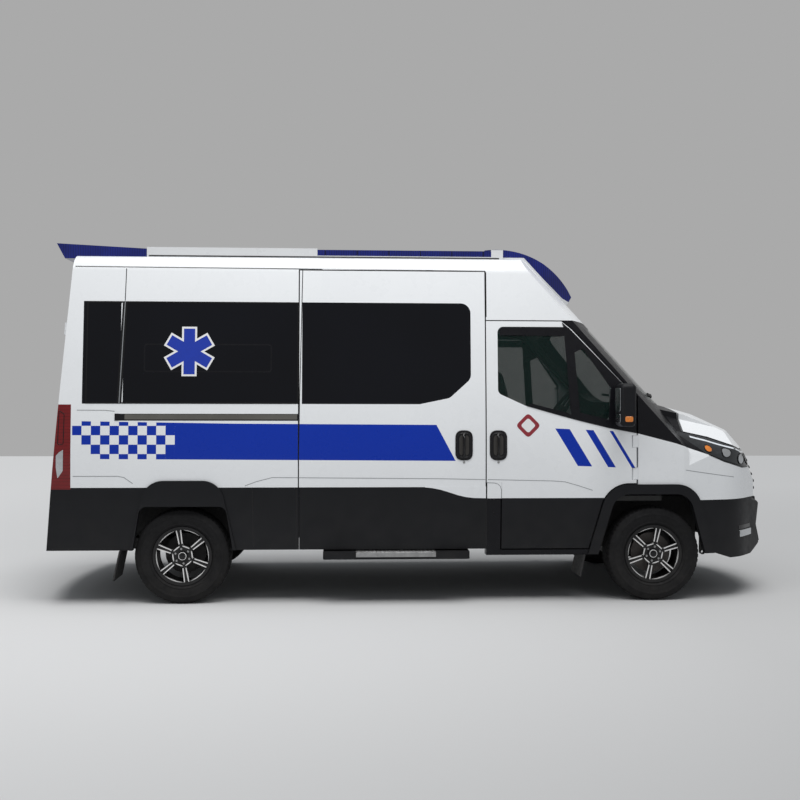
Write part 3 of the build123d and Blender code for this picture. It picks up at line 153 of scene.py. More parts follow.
def corner_line(*points):
    """Points (X, Y, Z) of the right front corner as angles and heights."""
    return [(math.atan2(y - NOSE_Y, x - NOSE_X), z) for x, y, z in points]


def at_wheel(x, side):
    """u is the radius, v the angle and w how far out the point stands from the wheel's middle."""
    def place(u, v, w):
        return Vector((x + u * math.cos(v), side * (WHEEL_Y + w), WHEEL_Z - u * math.sin(v)))
    return place


# Flat outlines

def shifted(points, distance, closed):
    """The points moved sideways, mitred at the corners."""
    out = []
    count = len(points)
    for i, here in enumerate(points):
        here = Vector(here)
        ways = []
        if closed or i:
            ways.append((here - Vector(points[i - 1])).normalized())
        if closed or i < count - 1:
            ways.append((Vector(points[(i + 1) % count]) - here).normalized())
        normals = [Vector((-w.y, w.x)) for w in ways]
        normal = sum(normals, Vector((0, 0))).normalized()
        reach = distance / max(normal.dot(normals[0]), 0.4)
        out.append(tuple(here + normal * reach))
    return out


def strip(points, width, closed=False):
    """A band of quads along a line."""
    left, right = shifted(points, width / 2, closed), shifted(points, -width / 2, closed)
    count = len(points)
    last = count if closed else count - 1
    return [(left[i], left[(i + 1) % count], right[(i + 1) % count], right[i]) for i in range(last)]


def rounded(points, radius, steps=5):
    """The closed outline with its corners rounded."""
    out = []
    for i, here in enumerate(points):
        here, before, after = Vector(here), Vector(points[i - 1]), Vector(points[(i + 1) % len(points)])
        a = min(radius, (before - here).length * 0.48)
        b = min(radius, (after - here).length * 0.48)
        start, end = here + (before - here).normalized() * a, here + (after - here).normalized() * b
        for k in range(steps + 1):
            t = k / steps
            out.append(tuple(start * (1 - t) ** 2 + here * 2 * t * (1 - t) + end * t * t))
    return out


def circle(u, v, radius, count):
    return [(u + radius * math.cos(2 * math.pi * k / count), v + radius * math.sin(2 * math.pi * k / count))
            for k in range(count)]


def bar(u_low, u_high, v_low, v_high):
    return [(u_low, v_low), (u_high, v_low), (u_high, v_high), (u_low, v_high)]


def star(x, z, reach, half):
    """The outline of three crossed bars."""
    points = []
    notch = half / math.sin(math.radians(30))
    for k in range(6):
        angle, valley = math.radians(90 + 60 * k), math.radians(120 + 60 * k)
        way, across = Vector((math.cos(angle), math.sin(angle))), Vector((-math.sin(angle), math.cos(angle)))
        points.append(tuple(Vector((x, z)) + way * reach - across * half))
        points.append(tuple(Vector((x, z)) + way * reach + across * half))
        points.append((x + notch * math.cos(valley), z + notch * math.sin(valley)))
    return points


# Meshes

def piece(name, bm, finish, slot, body="root", soft=0.0, angle=38.0, level=0):
    """A finished object from a mesh in the making: turned face out, shaded, given its finish and ridden."""
    bmesh.ops.recalc_face_normals(bm, faces=bm.faces[:])
    mesh = bpy.data.meshes.new(name)
    bm.to_mesh(mesh)
    bm.free()
    mesh.materials.append(made[finish])
    mesh.shade_smooth()
    mesh.set_sharp_from_angle(angle=math.radians(angle))
    obj = bpy.data.objects.new(name, mesh)
    bpy.context.scene.collection.objects.link(obj)
    if soft:
        edge = obj.modifiers.new("soft edge", "BEVEL")
        edge.width = soft
        edge.segments = 2
        edge.limit_method = "ANGLE"
        edge.angle_limit = math.radians(48)
    if level:
        smooth = obj.modifiers.new("smooth", "SUBSURF")
        smooth.levels = level
        smooth.render_levels = level
    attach(obj, body)
    return obj


def skin(name, loops, place, heights, step, finish, slot, body="root", soft=0.0):
    """Flat outlines laid on a panel in cells up to step long; heights: the underside's and the face's."""
    low, high = heights
    bm = bmesh.new()
    for loop in loops:
        bm.faces.new([bm.verts.new((u, 0, v)) for u, v in loop])
    bmesh.ops.remove_doubles(bm, verts=bm.verts[:], dist=WELD)
    for axis in (0, 2):
        values = [v.co[axis] for v in bm.verts]
        first, last = min(values), max(values)
        count = int((last - first) / step)
        for k in range(1, count + 1):
            at, way = Vector((0, 0, 0)), Vector((0, 0, 0))
            at[axis] = first + (last - first) * k / (count + 1)
            way[axis] = 1
            whole = bm.verts[:] + bm.edges[:] + bm.faces[:]
            bmesh.ops.bisect_plane(bm, geom=whole, plane_co=at, plane_no=way, dist=WELD)
    grown = bmesh.ops.extrude_face_region(bm, geom=bm.faces[:])["geom"]
    raised = {v for v in grown if isinstance(v, bmesh.types.BMVert)}
    for v in bm.verts:
        v.co = place(v.co.x, v.co.z, high if v in raised else low)
    return piece(name, bm, finish, slot, body, soft)


def lay(rows, name, place):
    """A skin for each row: its title, its outlines and what follows the place in skin."""
    for title, loops, *rest in rows:
        skin("%s_%s" % (title, name), loops, place, *rest)


def lathe(name, profile, place, finish, slot, body, segments, closed=True, dent=None):
    """A profile of (radius, out) points turned about a wheel's axis; dent lowers chosen points by segment."""
    bm = bmesh.new()
    rings = []
    for k in range(segments):
        turn = 2 * math.pi * k / segments
        rings.append([bm.verts.new(place(r - (dent(k, i, r, out) if dent else 0.0), turn, out))
                      for i, (r, out) in enumerate(profile)])
    last = len(profile) if closed else len(profile) - 1
    for here, there in zip(rings, rings[1:] + rings[:1]):
        for i in range(last):
            j = (i + 1) % len(profile)
            bm.faces.new((here[i], here[j], there[j], there[i]))
    if not closed:
        bmesh.ops.remove_doubles(bm, verts=bm.verts[:], dist=1e-5)
    return piece(name, bm, finish, slot, body, angle=30.0)


def tube(name, points, radius, finish, slot, body="root", flat=1.0, count=10):
    """A round or flattened bar along points, closed at both ends."""
    bm = bmesh.new()
    rings = []
    for i, here in enumerate(points):
        way = (points[min(i + 1, len(points) - 1)] - points[max(i - 1, 0)]).normalized()
        up = Vector((0, 0, 1)) if abs(way.z) < 0.9 else Vector((1, 0, 0))
        across = way.cross(up).normalized()
        lift = across.cross(way).normalized()
        rings.append([bm.verts.new(here + across * radius * math.cos(a) + lift * radius * flat * math.sin(a))
                      for a in (2 * math.pi * k / count for k in range(count))])
    for here, there in zip(rings, rings[1:]):
        for k in range(count):
            bm.faces.new((here[k], here[(k + 1) % count], there[(k + 1) % count], there[k]))
    bm.faces.new(rings[0])
    bm.faces.new(rings[-1])
    return piece(name, bm, finish, slot, body, angle=50)


def block(name, centre, size, finish, slot, soft=0.0):
    bm = bmesh.new()
    bmesh.ops.create_cube(bm, size=1.0, matrix=Matrix.Translation(centre) @ Matrix.Diagonal(size + (1.0,)))
    return piece(name, bm, finish, slot, soft=soft)


def pad(name, half, corner, matrix, crown, channels, cells=22):
    """A cushion: a rounded block whose top swells and sinks again along its sewn channels."""
    bm = bmesh.new()
    bmesh.ops.create_cube(bm, size=2.0)
    bmesh.ops.subdivide_edges(bm, edges=bm.edges[:], cuts=cells, use_grid_fill=True)
    half = Vector(half)
    inner = Vector([h - corner for h in half])
    for v in bm.verts:
        at = Vector([c * h for c, h in zip(v.co, half)])
        core = Vector([max(-i, min(i, a)) for a, i in zip(at, inner)])
        away = at - core
        at = core + away.normalized() * corner if away.length > 1e-6 else at
        share = (1 - (at.x / half.x) ** 2) * (1 - (at.y / half.y) ** 2)
        if at.z > inner.z * 0.5:
            at.z += crown * max(share, 0)
            for axis, where, width, depth in channels:
                at.z -= depth * math.exp(-((at[axis] - where) / width) ** 2)
        pull = 0.02 * half.y * (1 - abs(at.x / half.x) ** 2)
        at.y -= math.copysign(pull, at.y) * (abs(at.y) / half.y) ** 3
        v.co = matrix @ at
    obj = piece(name, bm, "seat_cloth", "seat_cloth", angle=60, level=1)
    return obj


# Materials

class Net:
    """A material's node tree, built in short steps."""

    def __init__(self, name, colour, rough, metal=0.0, coat=0.0, spec=0.5):
        self.material = bpy.data.materials.new(name)
        self.material.use_nodes = True
        self.tree = self.material.node_tree
        self.shader = self.tree.nodes["Principled BSDF"]
        place = self.add("ShaderNodeTexCoord")
        self.place, self.normal = place.outputs["Object"], place.outputs["Normal"]
        self.colour = tuple(colour[:3]) + (1.0,)
        for key, value in (("Base Color", self.colour), ("Roughness", rough), ("Metallic", metal),
                           ("Coat Weight", coat), ("Specular IOR Level", spec), ("IOR", 1.5)):
            self.shader.inputs[key].default_value = value
        made[name] = self.material

    def add(self, kind, **values):
        node = self.tree.nodes.new(kind)
        for key, value in values.items():
            setattr(node, key, value)
        return node

    def feed(self, socket, value):
        if isinstance(value, bpy.types.NodeSocket):
            self.tree.links.new(value, socket)
        else:
            socket.default_value = value

    def math(self, what, a, b=0.0, c=0.0):
        node = self.add("ShaderNodeMath", operation=what)
        for socket, value in zip(node.inputs, (a, b, c)):
            self.feed(socket, value)
        return node.outputs[0]

    def over(self, a, b):
        return self.math("GREATER_THAN", a, b)

    def under(self, a, b):
        return self.math("LESS_THAN", a, b)

    def less(self, a, b):
        return self.math("SUBTRACT", a, b)

    def times(self, *values):
        out = values[0]
        for value in values[1:]:
            out = self.math("MULTIPLY", out, value)
        return out

    def most(self, *values):
        out = values[0]
        for value in values[1:]:
            out = self.math("MAXIMUM", out, value)
        return out

    def within(self, value, low, high):
        return self.times(self.over(value, low), self.under(value, high))

    def line(self, x, at, value, slope):
        """value + slope * (x - at)."""
        return self.math("MULTIPLY_ADD", x, slope, value - slope * at)

    def mix(self, share, a, b, blend="MIX"):
        node = self.add("ShaderNodeMix", data_type="RGBA", blend_type=blend)
        for socket, value in ((node.inputs[0], share), (node.inputs[6], a), (node.inputs[7], b)):
            self.feed(socket, value)
        return node.outputs[2]

    def noise(self, scale, detail=3.0, stretch=None):
        node = self.add("ShaderNodeTexNoise")
        for key, value in (("Scale", scale), ("Detail", detail), ("Roughness", 0.55)):
            node.inputs[key].default_value = value
        where = self.place
        if stretch:
            mapping = self.add("ShaderNodeMapping")
            mapping.inputs["Scale"].default_value = stretch
            self.feed(mapping.inputs["Vector"], where)
            where = mapping.outputs[0]
        self.feed(node.inputs["Vector"], where)
        return node.outputs["Fac"]

    def ramp(self, value, low, high, out_low, out_high):
        node = self.add("ShaderNodeMapRange")
        for socket, number in zip(node.inputs, (value, low, high, out_low, out_high)):
            self.feed(socket, number)
        return node.outputs[0]

    def axes(self, vector):
        node = self.add("ShaderNodeSeparateXYZ")
        self.feed(node.inputs[0], vector)
        return node.outputs

    def bump(self, height, strength, distance):
        node = self.add("ShaderNodeBump")
        for key, value in (("Strength", strength), ("Distance", distance), ("Height", height)):
            self.feed(node.inputs[key], value)
        self.feed(self.shader.inputs["Normal"], node.outputs[0])

    def vary(self, base, share, scale=4.0, spread=None, dust=0.0, dust_top=0.9):
        """Blotches in the colour, a spread of roughness, and road dust up to the height dust_top."""
        blotch = self.ramp(self.noise(scale), 0.35, 0.65, 0.0, 1.0)
        veil = self.mix(blotch, (1 - share, 1 - share, 1 - share, 1), (1, 1, 1, 1))
        out = self.mix(1.0, base, veil, "MULTIPLY")
        if dust:
            low = self.ramp(self.axes(self.place)[2], 0.05, dust_top, 1.0, 0.0)
            share_of_dust = self.times(low, self.ramp(self.noise(9.0, 6.0), 0.3, 0.75, 0.2, 1.0), dust)
            out = self.mix(share_of_dust, out, ROAD_DUST)
        self.feed(self.shader.inputs["Base Color"], out)
        if spread:
            rough = self.ramp(self.noise(scale * 6, 5.0), 0.3, 0.7, *spread)
            self.feed(self.shader.inputs["Roughness"], rough)


def plain(name, colour, rough, share, scale=4.0, spread=None, dust=0.0, dust_top=0.9, grain=None,
          stretch=None, **shader):
    """A finish of one colour; grain is its bump's noise scale, detail, strength and depth."""
    net = Net(name, colour, rough, **shader)
    net.vary(net.colour, share, scale, spread, dust, dust_top)
    if grain:
        size, detail, strength, depth = grain
        net.bump(net.noise(size, detail, stretch), strength, depth)
    return net


def paint_material():
    """Body white with the blue band, its chequered tail and the slanted door stripes."""
    tail_start, tail_end, band_start, end_start = -2.5366, -1.79, -1.7946, -1.862
    square_long, square_tall, squares_top, middle_row = 0.06745, 0.0687, 1.3830, 2.0
    net = Net("white_paint", looks().body_white, 0.28, coat=0.1, spec=0.25)
    x, y, z = net.axes(net.place)
    sideways = net.over(net.times(net.axes(net.normal)[1], y), 0.5)

    def slanted(at, slope):
        return net.math("MULTIPLY_ADD", net.less(z, at), slope, x)

    top = net.most(net.line(x, -1.931, 1.334, -0.0053), net.line(x, -1.69, 1.336, -0.0154))
    foot = net.line(x, -1.9, 1.069, -0.0060)
    tall = net.times(net.over(top, z), net.over(z, foot))
    band = net.times(net.over(x, band_start), net.under(slanted(1.323, 0.532), 0.129))
    column = net.math("FLOOR", net.math("DIVIDE", net.less(x, tail_start), square_long))
    row = net.math("FLOOR", net.math("DIVIDE", net.less(squares_top, z), square_tall))
    odd = net.over(net.math("MODULO", net.math("ADD", column, row), 2.0), 0.5)
    stepped = net.over(column, net.less(row, middle_row))
    chequer = net.times(odd, net.within(x, tail_start, tail_end), stepped)
    outer_rows = net.over(net.math("ABSOLUTE", net.less(row, middle_row)), 1.5)
    ends = net.times(net.within(x, end_start, tail_end), outer_rows)
    slant = slanted(1.290, 0.607)
    stripe_tall = net.times(net.under(z, net.line(x, 1.018, 1.297, -0.0434)),
                            net.over(z, net.line(x, 1.188, 1.017, -0.0368)))
    stripes = net.most(net.within(slant, 1.022, 1.128), net.within(slant, 1.2455, 1.303),
                       net.within(slant, 1.4213, 1.448))
    blue = net.times(sideways, net.most(net.times(tall, net.most(band, chequer, ends)),
                                        net.times(stripe_tall, stripes)))
    colour = net.mix(blue, net.colour, tuple(looks().band_blue) + (1.0,))
    net.vary(colour, 0.02, 1.5, (0.24, 0.33), 0.05, 0.7)
    net.bump(net.noise(160.0, 2.0), 0.01, 0.0004)


def ribbed(name, colour, rough, coat, axis, per_metre, groove, deep, share, scale, spread):
    """A lamp's lens with darker flutes across one axis."""
    net = Net(name, colour, rough, coat=coat, spec=0.3)
    flute = net.math("FRACT", net.times(net.axes(net.place)[axis], per_metre))
    dark = tuple(deep * c for c in colour) + (1.0,)
    net.vary(net.mix(net.under(flute, groove), net.colour, dark), share, scale, spread)


def plain_materials():
    """Every other finish, named by the record's slots or by what it is."""
    choice = looks()
    plain("black_plastic", choice.cladding_black, 0.5, 0.18, 3.0, (0.42, 0.56), 0.05, spec=0.2,
          grain=(520.0, 2.0, 0.22, 0.0008))
    plain("roof_white", (0.62, 0.63, 0.64), 0.3, 0.03, 2.0, (0.25, 0.36), coat=0.2,
          grain=(220.0, 3.0, 0.01, 0.0004))
    plain("grille_black", (0.008, 0.008, 0.010), 0.3, 0.1, spread=(0.18, 0.3), coat=0.2, spec=0.3)
    plain("gloss_black", (0.003, 0.003, 0.004), 0.12, 0.1, spread=(0.08, 0.18), coat=0.2, spec=0.3)
    plain("frame_black", (0.005, 0.005, 0.007), 0.35, 0.12, spread=(0.24, 0.4), spec=0.22,
          grain=(300.0, 3.0, 0.05, 0.0006))
    plain("dark_glass", (0.002, 0.0025, 0.005), 0.04, 0.25, 1.2, (0.025, 0.06), spec=0.26)
    clear = plain("clear_glass", (0.006, 0.020, 0.017), 0.02, 0.2, 1.0, (0.01, 0.03), spec=0.3)
    clear.shader.inputs["Alpha"].default_value = 0.42
    plain("lamp_clear", (0.025, 0.028, 0.032), 0.07, 0.5, 14.0, (0.05, 0.12), coat=0.4)
    plain("reflector", (0.62, 0.64, 0.66), 0.16, 0.12, 30.0, (0.1, 0.25), metal=1.0)
    plain("light_strip", (0.78, 0.82, 0.86), 0.2, 0.06, 25.0, coat=1.0)
    plain("amber_lens", (0.75, 0.22, 0.02), 0.15, 0.2, 60.0, coat=1.0, grain=(260.0, 1.0, 0.2, 0.0008))
    ribbed("lamp_red", choice.lamp_red, 0.12, 0.2, 2, 42.0, 0.12, 0.5, 0.15, 18.0, (0.08, 0.16))
    ribbed("lamp_blue", choice.lamp_blue, 0.1, 0.3, 0, 55.0, 0.3, 0.55, 0.3, 6.0, (0.06, 0.14))
    plain("tyre", (0.007, 0.007, 0.008), 0.72, 0.25, 7.0, (0.62, 0.85), 0.05, 0.75, spec=0.22,
          grain=(700.0, 2.0, 0.25, 0.0006))
    plain("rubber", (0.010, 0.010, 0.011), 0.62, 0.2, 8.0, (0.5, 0.75), 0.06,
          grain=(400.0, 3.0, 0.15, 0.0006))
    plain("alloy", (0.004, 0.004, 0.005), 0.3, 0.15, 12.0, (0.25, 0.4), 0.05, coat=0.1, spec=0.3,
          grain=(500.0, 3.0, 0.06, 0.0005))
    plain("polished_alloy", (0.85, 0.84, 0.83), 0.35, 0.08, 40.0, (0.12, 0.26), metal=0.4,
          grain=(900.0, 2.0, 0.06, 0.0004), stretch=(1.0, 1.0, 8.0))
    plain("bright_steel", (0.42, 0.42, 0.42), 0.32, 0.2, 20.0, (0.25, 0.45), metal=1.0,
          grain=(600.0, 2.0, 0.1, 0.0004), stretch=(1.0, 12.0, 1.0))
    plain("chassis_steel", (0.010, 0.010, 0.011), 0.55, 0.3, 6.0, (0.45, 0.7), 0.08,
          grain=(160.0, 4.0, 0.12, 0.001))
    for name, colour in (("knuckle_iron", (0.11, 0.10, 0.095)), ("engine_iron", (0.16, 0.16, 0.16))):
        plain(name, colour, 0.6, 0.35, 14.0, (0.5, 0.75), 0.15, metal=0.5, grain=(240.0, 4.0, 0.35, 0.0012))
    plain("partition_grey", (0.16, 0.16, 0.17), 0.45, 0.1, 3.0, (0.4, 0.55), grain=(420.0, 3.0, 0.1, 0.0006))
    plain("dash_plastic", (0.035, 0.035, 0.038), 0.6, 0.2, 6.0, (0.5, 0.7), grain=(650.0, 3.0, 0.3, 0.0006))
    plain("badge_white", (0.80, 0.80, 0.80), 0.3, 0.03)
    # crease_grey: a mid grey used as painted shade for the creases and corner lines on the white panels, and
    # for the thin bar down the gap in the rear side glass
    plain("crease_grey", (0.24, 0.25, 0.26), 0.5, 0.1, 9.0)
    plain("badge_red", choice.badge_red, 0.3, 0.06, 20.0, coat=0.4)
    plain("emblem_blue", choice.band_blue, 0.3, 0.06, 20.0, coat=0.4)
    plain("track_grey", (0.105, 0.100, 0.088), 0.5, 0.2, 4.0, (0.4, 0.6))
    plain("track_brown", (0.030, 0.027, 0.024), 0.5, 0.2, 10.0, (0.4, 0.6))
    net = Net("floor_vinyl", (0.26, 0.27, 0.28), 0.55)
    # Floor faces that don't point up get a near-black painted shade, so the floor's underside looks dark
    upper = net.over(net.axes(net.normal)[2], 0.5)
    net.vary(net.mix(upper, (0.015, 0.015, 0.015, 1), net.colour), 0.12, 5.0, (0.45, 0.65))
    net.bump(net.noise(350.0), 0.15, 0.0007)
    net = Net("seat_cloth", (0.030, 0.031, 0.036), 0.85)
    weave = net.add("ShaderNodeTexWave", wave_type="BANDS", bands_direction="DIAGONAL")
    weave.inputs["Scale"].default_value = 260.0
    net.feed(weave.inputs["Vector"], net.place)
    cloth = net.mix(weave.outputs["Fac"], (0.020, 0.021, 0.025, 1), (0.045, 0.047, 0.054, 1))
    net.vary(cloth, 0.2, 8.0, (0.8, 0.95))
    net.bump(weave.outputs["Fac"], 0.3, 0.0008)
    net.shader.inputs["Sheen Weight"].default_value = 0.3


class AmbulanceLooks(bpy.types.PropertyGroup):
    body_white: FloatVectorProperty(
        name="Body white", description="Colour of the painted panels",
        subtype="COLOR", min=0, max=1, default=(0.80, 0.815, 0.83))
    band_blue: FloatVectorProperty(
        name="Band blue", description="Colour of the side band, stripes and star",
        subtype="COLOR", min=0, max=1, default=(0.0003, 0.028, 0.36))
    badge_red: FloatVectorProperty(
        name="Badge red", description="Colour of the plain door badge",
        subtype="COLOR", min=0, max=1, default=(0.26, 0.014, 0.026))
    lamp_blue: FloatVectorProperty(
        name="Lamp blue", description="Colour of the roof lamps' lenses",
        subtype="COLOR", min=0, max=1, default=(0.006, 0.014, 0.16))
    lamp_red: FloatVectorProperty(
        name="Lamp red", description="Colour of the tail lamps",
        subtype="COLOR", min=0, max=1, default=(0.17, 0.008, 0.010))
    cladding_black: FloatVectorProperty(
        name="Cladding black", description="Colour of bumpers, steps and cladding",
        subtype="COLOR", min=0, max=1, default=(0.0085, 0.009, 0.011))
    tread_blocks: IntProperty(
        name="Tread blocks", description="Blocks round each tyre's shoulder",
        default=58, min=24, max=90)
    tread_depth: FloatProperty(
        name="Tread depth", description="Depth of the tyre's grooves",
        default=0.008, min=0.002, max=0.012, unit="LENGTH", subtype="DISTANCE")
    seam_width: FloatProperty(
        name="Seam width", description="Width of the dark lines between fixed panels",
        default=0.0055, min=0.002, max=0.012, unit="LENGTH", subtype="DISTANCE")
    handle_reach: FloatProperty(
        name="Handle reach", description="How far a door handle stands out of its cup",
        default=0.026, min=0.01, max=0.04, unit="LENGTH", subtype="DISTANCE")
    star_size: FloatProperty(
        name="Star size", description="Half the width of the six-armed window sign",
        default=0.183, min=0.08, max=0.3, unit="LENGTH", subtype="DISTANCE")
    sun_strength: FloatProperty(
        name="Sun strength", description="Strength of the studio's soft overhead light",
        default=1.7, min=0.0, max=5.0)
    strip_power: FloatProperty(
        name="Strip power", description="Power of the long lamp beside the roof",
        default=120.0, min=0.0, max=1000.0, unit="POWER")


class AMBULANCE_OT_paint(bpy.types.Operator):
    """Gives every CAD node the finish of its slot"""
    bl_idname = "ambulance.paint"
    bl_label = "Paint"

    def execute(self, context):
        paint_material()
        plain_materials()
        for row in frame["record"]["subparts"]:
            obj = nodes[row["node"]]
            if not obj.material_slots:
                obj.data.materials.append(made[row["material_slot"]])
            for slot in obj.material_slots:
                slot.material = made[row["material_slot"]]
        return {"FINISHED"}


class AMBULANCE_OT_tyres(bpy.types.Operator):
    """Four tyres with a ribbed tread, shoulder blocks and ringed walls"""
    bl_idname = "ambulance.tyres"
    bl_label = "Tyres"

    def execute(self, context):
        depth = looks().tread_depth
        per_block = 4
        crown, crown_side, narrowing = 0.352, 0.3518, 0.7
        shoulder, middle_rib, wall_top = 0.062, 0.03, 0.34
        grooves = ((0.056, 0.005), (0.026, 0.0045), (0.0, 0.0045))
        wall = [(0.203, 0.088), (0.219, 0.0895), (0.2235, 0.0985), (0.232, 0.1035), (0.236, 0.1085),
                (0.240, 0.1085), (0.243, 0.1065), (0.262, 0.1115), (0.278, 0.1125), (0.292, 0.1118),
                (0.295, 0.1130), (0.300, 0.1130), (0.303, 0.1105), (0.316, 0.1065), (0.327, 0.1015),
                (0.335, 0.0985), (0.3385, 0.0965), (0.345, 0.0885), (0.349, 0.079)]
        tread = []
        for centre, reach in grooves:
            if centre:
                tread.extend([(crown_side, centre + reach), (crown_side - depth, centre + reach * narrowing),
                              (crown_side - depth, centre - reach * narrowing), (crown, centre - reach)])
            else:
                tread.extend([(crown, reach), (crown - depth, reach * narrowing)])
        outer = wall + tread
        profile = outer + [(r, -out) for r, out in reversed(outer)]
        sunk_from = len(wall) - 3

        def dent(k, i, r, out):
            rank = i if i < len(outer) else len(profile) - 1 - i
            if rank < sunk_from or r < wall_top:
                return 0.0
            if abs(out) > shoulder:
                return depth * 0.8 if k % per_block == 0 else 0.0
            if abs(out) > middle_rib:
                return depth * 0.45 if k % per_block == 2 else 0.0
            return depth * 0.3 if k % (per_block * 2) == 1 else 0.0

        for end, x, _ in WHEELS:
            for name, side in SIDES:
                tag = "%s_%s" % (end, name)
                obj = lathe("tyre_%s_tread" % tag, profile, at_wheel(x, side), "tyre", "tyre", "wheel_" + tag,
                            looks().tread_blocks * per_block, dent=dent)
                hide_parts("tyre_" + tag)
        return {"FINISHED"}


class AMBULANCE_OT_rims(bpy.types.Operator):
    """Polished window edges, caps, nuts and a lip on the black alloys"""
    bl_idname = "ambulance.rims"
    bl_label = "Rims"

    def window_edges(self, place, turn):
        """The bright frames of the windows between the spokes."""
        face, window_in, window_out, margin, width = 0.082, 0.074, 0.178, 0.013, 0.0080
        bm = bmesh.new()
        half_in = math.pi * window_in / SPOKES - margin
        half_out = math.pi * window_out / SPOKES - margin
        arc = [(window_out + 0.010 * math.cos(t * math.pi / 6), half_out * t / 3) for t in (-2, -1, 0, 1, 2)]
        loop = rounded([(window_in, -half_in), (window_out, -half_out)] + arc
                       + [(window_out, half_out), (window_in, half_in)], 0.006, 3)
        for k in range(SPOKES):
            angle = math.radians(turn + 360 * k / SPOKES)
            rows = []
            for (u, v), (p, q) in zip(loop, shifted(loop, -width, True)):
                level = face + 0.0035 * (1 - min(u, 0.19) / 0.19) + 0.006 * max(0.0, (u - 0.16) / 0.03)
                points = ((u, v, level - 0.014), (u, v, level + 0.0015), (p, q, level + 0.0015),
                          (p, q, level - 0.002))
                rows.append([bm.verts.new(place(math.hypot(a, b), angle + math.atan2(b, a), c))
                             for a, b, c in points])
            for row, after in zip(rows, rows[1:] + rows[:1]):
                for j in range(4):
                    bm.faces.new((row[j], row[(j + 1) % 4], after[(j + 1) % 4], after[j]))
        return bm

    def nuts(self, place, turn):
        """Six hexagonal nuts round the cap."""
        bm = bmesh.new()
        for k in range(6):
            angle = math.radians(turn + 30 + 60 * k)
            u, v = 0.054 * math.cos(angle), 0.054 * math.sin(angle)
            rings = []
            for level, radius in ((0.078, 0.0095), (0.0925, 0.0095), (0.0945, 0.0080), (0.0945, 0.0)):
                corners = [(u + radius * math.cos(t), v + radius * math.sin(t))
                           for t in (math.radians(60 * s) for s in range(6))]
                rings.append([bm.verts.new(place(math.hypot(a, b), math.atan2(b, a), level))
                              for a, b in corners])
            for low, high in zip(rings, rings[1:]):
                for s in range(6):
                    bm.faces.new((low[s], low[(s + 1) % 6], high[(s + 1) % 6], high[s]))
            bm.faces.new(rings[0])
        bmesh.ops.remove_doubles(bm, verts=bm.verts[:], dist=1e-5)
        return bm

    def execute(self, context):
        lip = [(0.1985, 0.0862), (0.2005, 0.0985), (0.2165, 0.0992), (0.2178, 0.0978), (0.2178, 0.0962),
               (0.2035, 0.0962), (0.2012, 0.0862)]
        cap = [(0.0, 0.098), (0.018, 0.0975), (0.027, 0.0955), (0.031, 0.091), (0.0335, 0.088),
               (0.037, 0.0872), (0.038, 0.078), (0.0, 0.076)]
        ring = [(0.0255, 0.0962), (0.0285, 0.0960), (0.0300, 0.0935), (0.0290, 0.0925), (0.0255, 0.0940)]
        for end, x, turn in WHEELS:
            for name, side in SIDES:
                tag = "%s_%s" % (end, name)
                body = "wheel_" + tag
                place = at_wheel(x, side)
                edges = self.window_edges(place, turn)
                piece("rim_edges_" + tag, edges, "polished_alloy", "alloy", body, angle=30)
                lathe("rim_lip_" + tag, lip, place, "alloy", "alloy", body, 96)
                lathe("rim_cap_" + tag, cap, place, "gloss_black", "alloy", body, 48, closed=False)
                lathe("rim_cap_ring_" + tag, ring, place, "polished_alloy", "alloy", body, 48)
                piece("wheel_nuts_" + tag, self.nuts(place, turn), "bright_steel", "alloy", body)
        return {"FINISHED"}


class AMBULANCE_OT_handles(bpy.types.Operator):
    """Oval cups with upright grips on the front doors and the sliding door"""
    bl_idname = "ambulance.handles"
    bl_label = "Handles"

    def execute(self, context):
        low, high, half = 1.060, 1.283, 0.065
        spots = [("slider_handle", -1, 0.334, "root")]
        spots += [("door_handle_" + name, side, 0.591, "front_door_" + name) for name, side in SIDES]
        for title, side, x, body in spots:
            place = on_side(side)
            rim = rounded(bar(x - half, x + half, low, high), 0.058, 8)
            cup = rounded(bar(x - half + 0.017, x + half - 0.017, low + 0.022, high - 0.022), 0.042, 8)
            well = rounded(bar(x - 0.036, x + 0.036, low + 0.035, high - 0.035), 0.03, 6)
            for part, loops, heights, finish, soft in (
                    ("plate", [rim], (-0.002, 0.006), "gloss_black", 0.003),
                    ("ring", strip(cup, 0.007, True), (0.004, 0.0095), "grille_black", 0.002),
                    ("cup", [well], (0.004, 0.0066), "track_brown", 0.0)):
                skin("%s_%s" % (title, part), loops, place, heights, 0.05, finish, "black_plastic", body,
                     soft)
            start, end = place(x, low + 0.028, 0.004), place(x, high - 0.028, 0.004)
            bow = Vector((0, side * looks().handle_reach, 0))
            grip = [start.lerp(end, k / 14) + bow * (1 - (2 * k / 14 - 1) ** 2) for k in range(15)]
            tube(title + "_grip", grip, 0.0135, "gloss_black", "black_plastic", body, 0.62, 12)
            lock = circle(x, (low + high) / 2 - 0.125, 0.009, 18)
            skin(title + "_lock", [lock], place, (-0.001, 0.004), 0.05, "bright_steel", "black_plastic", body,
                 0.001)
        return {"FINISHED"}


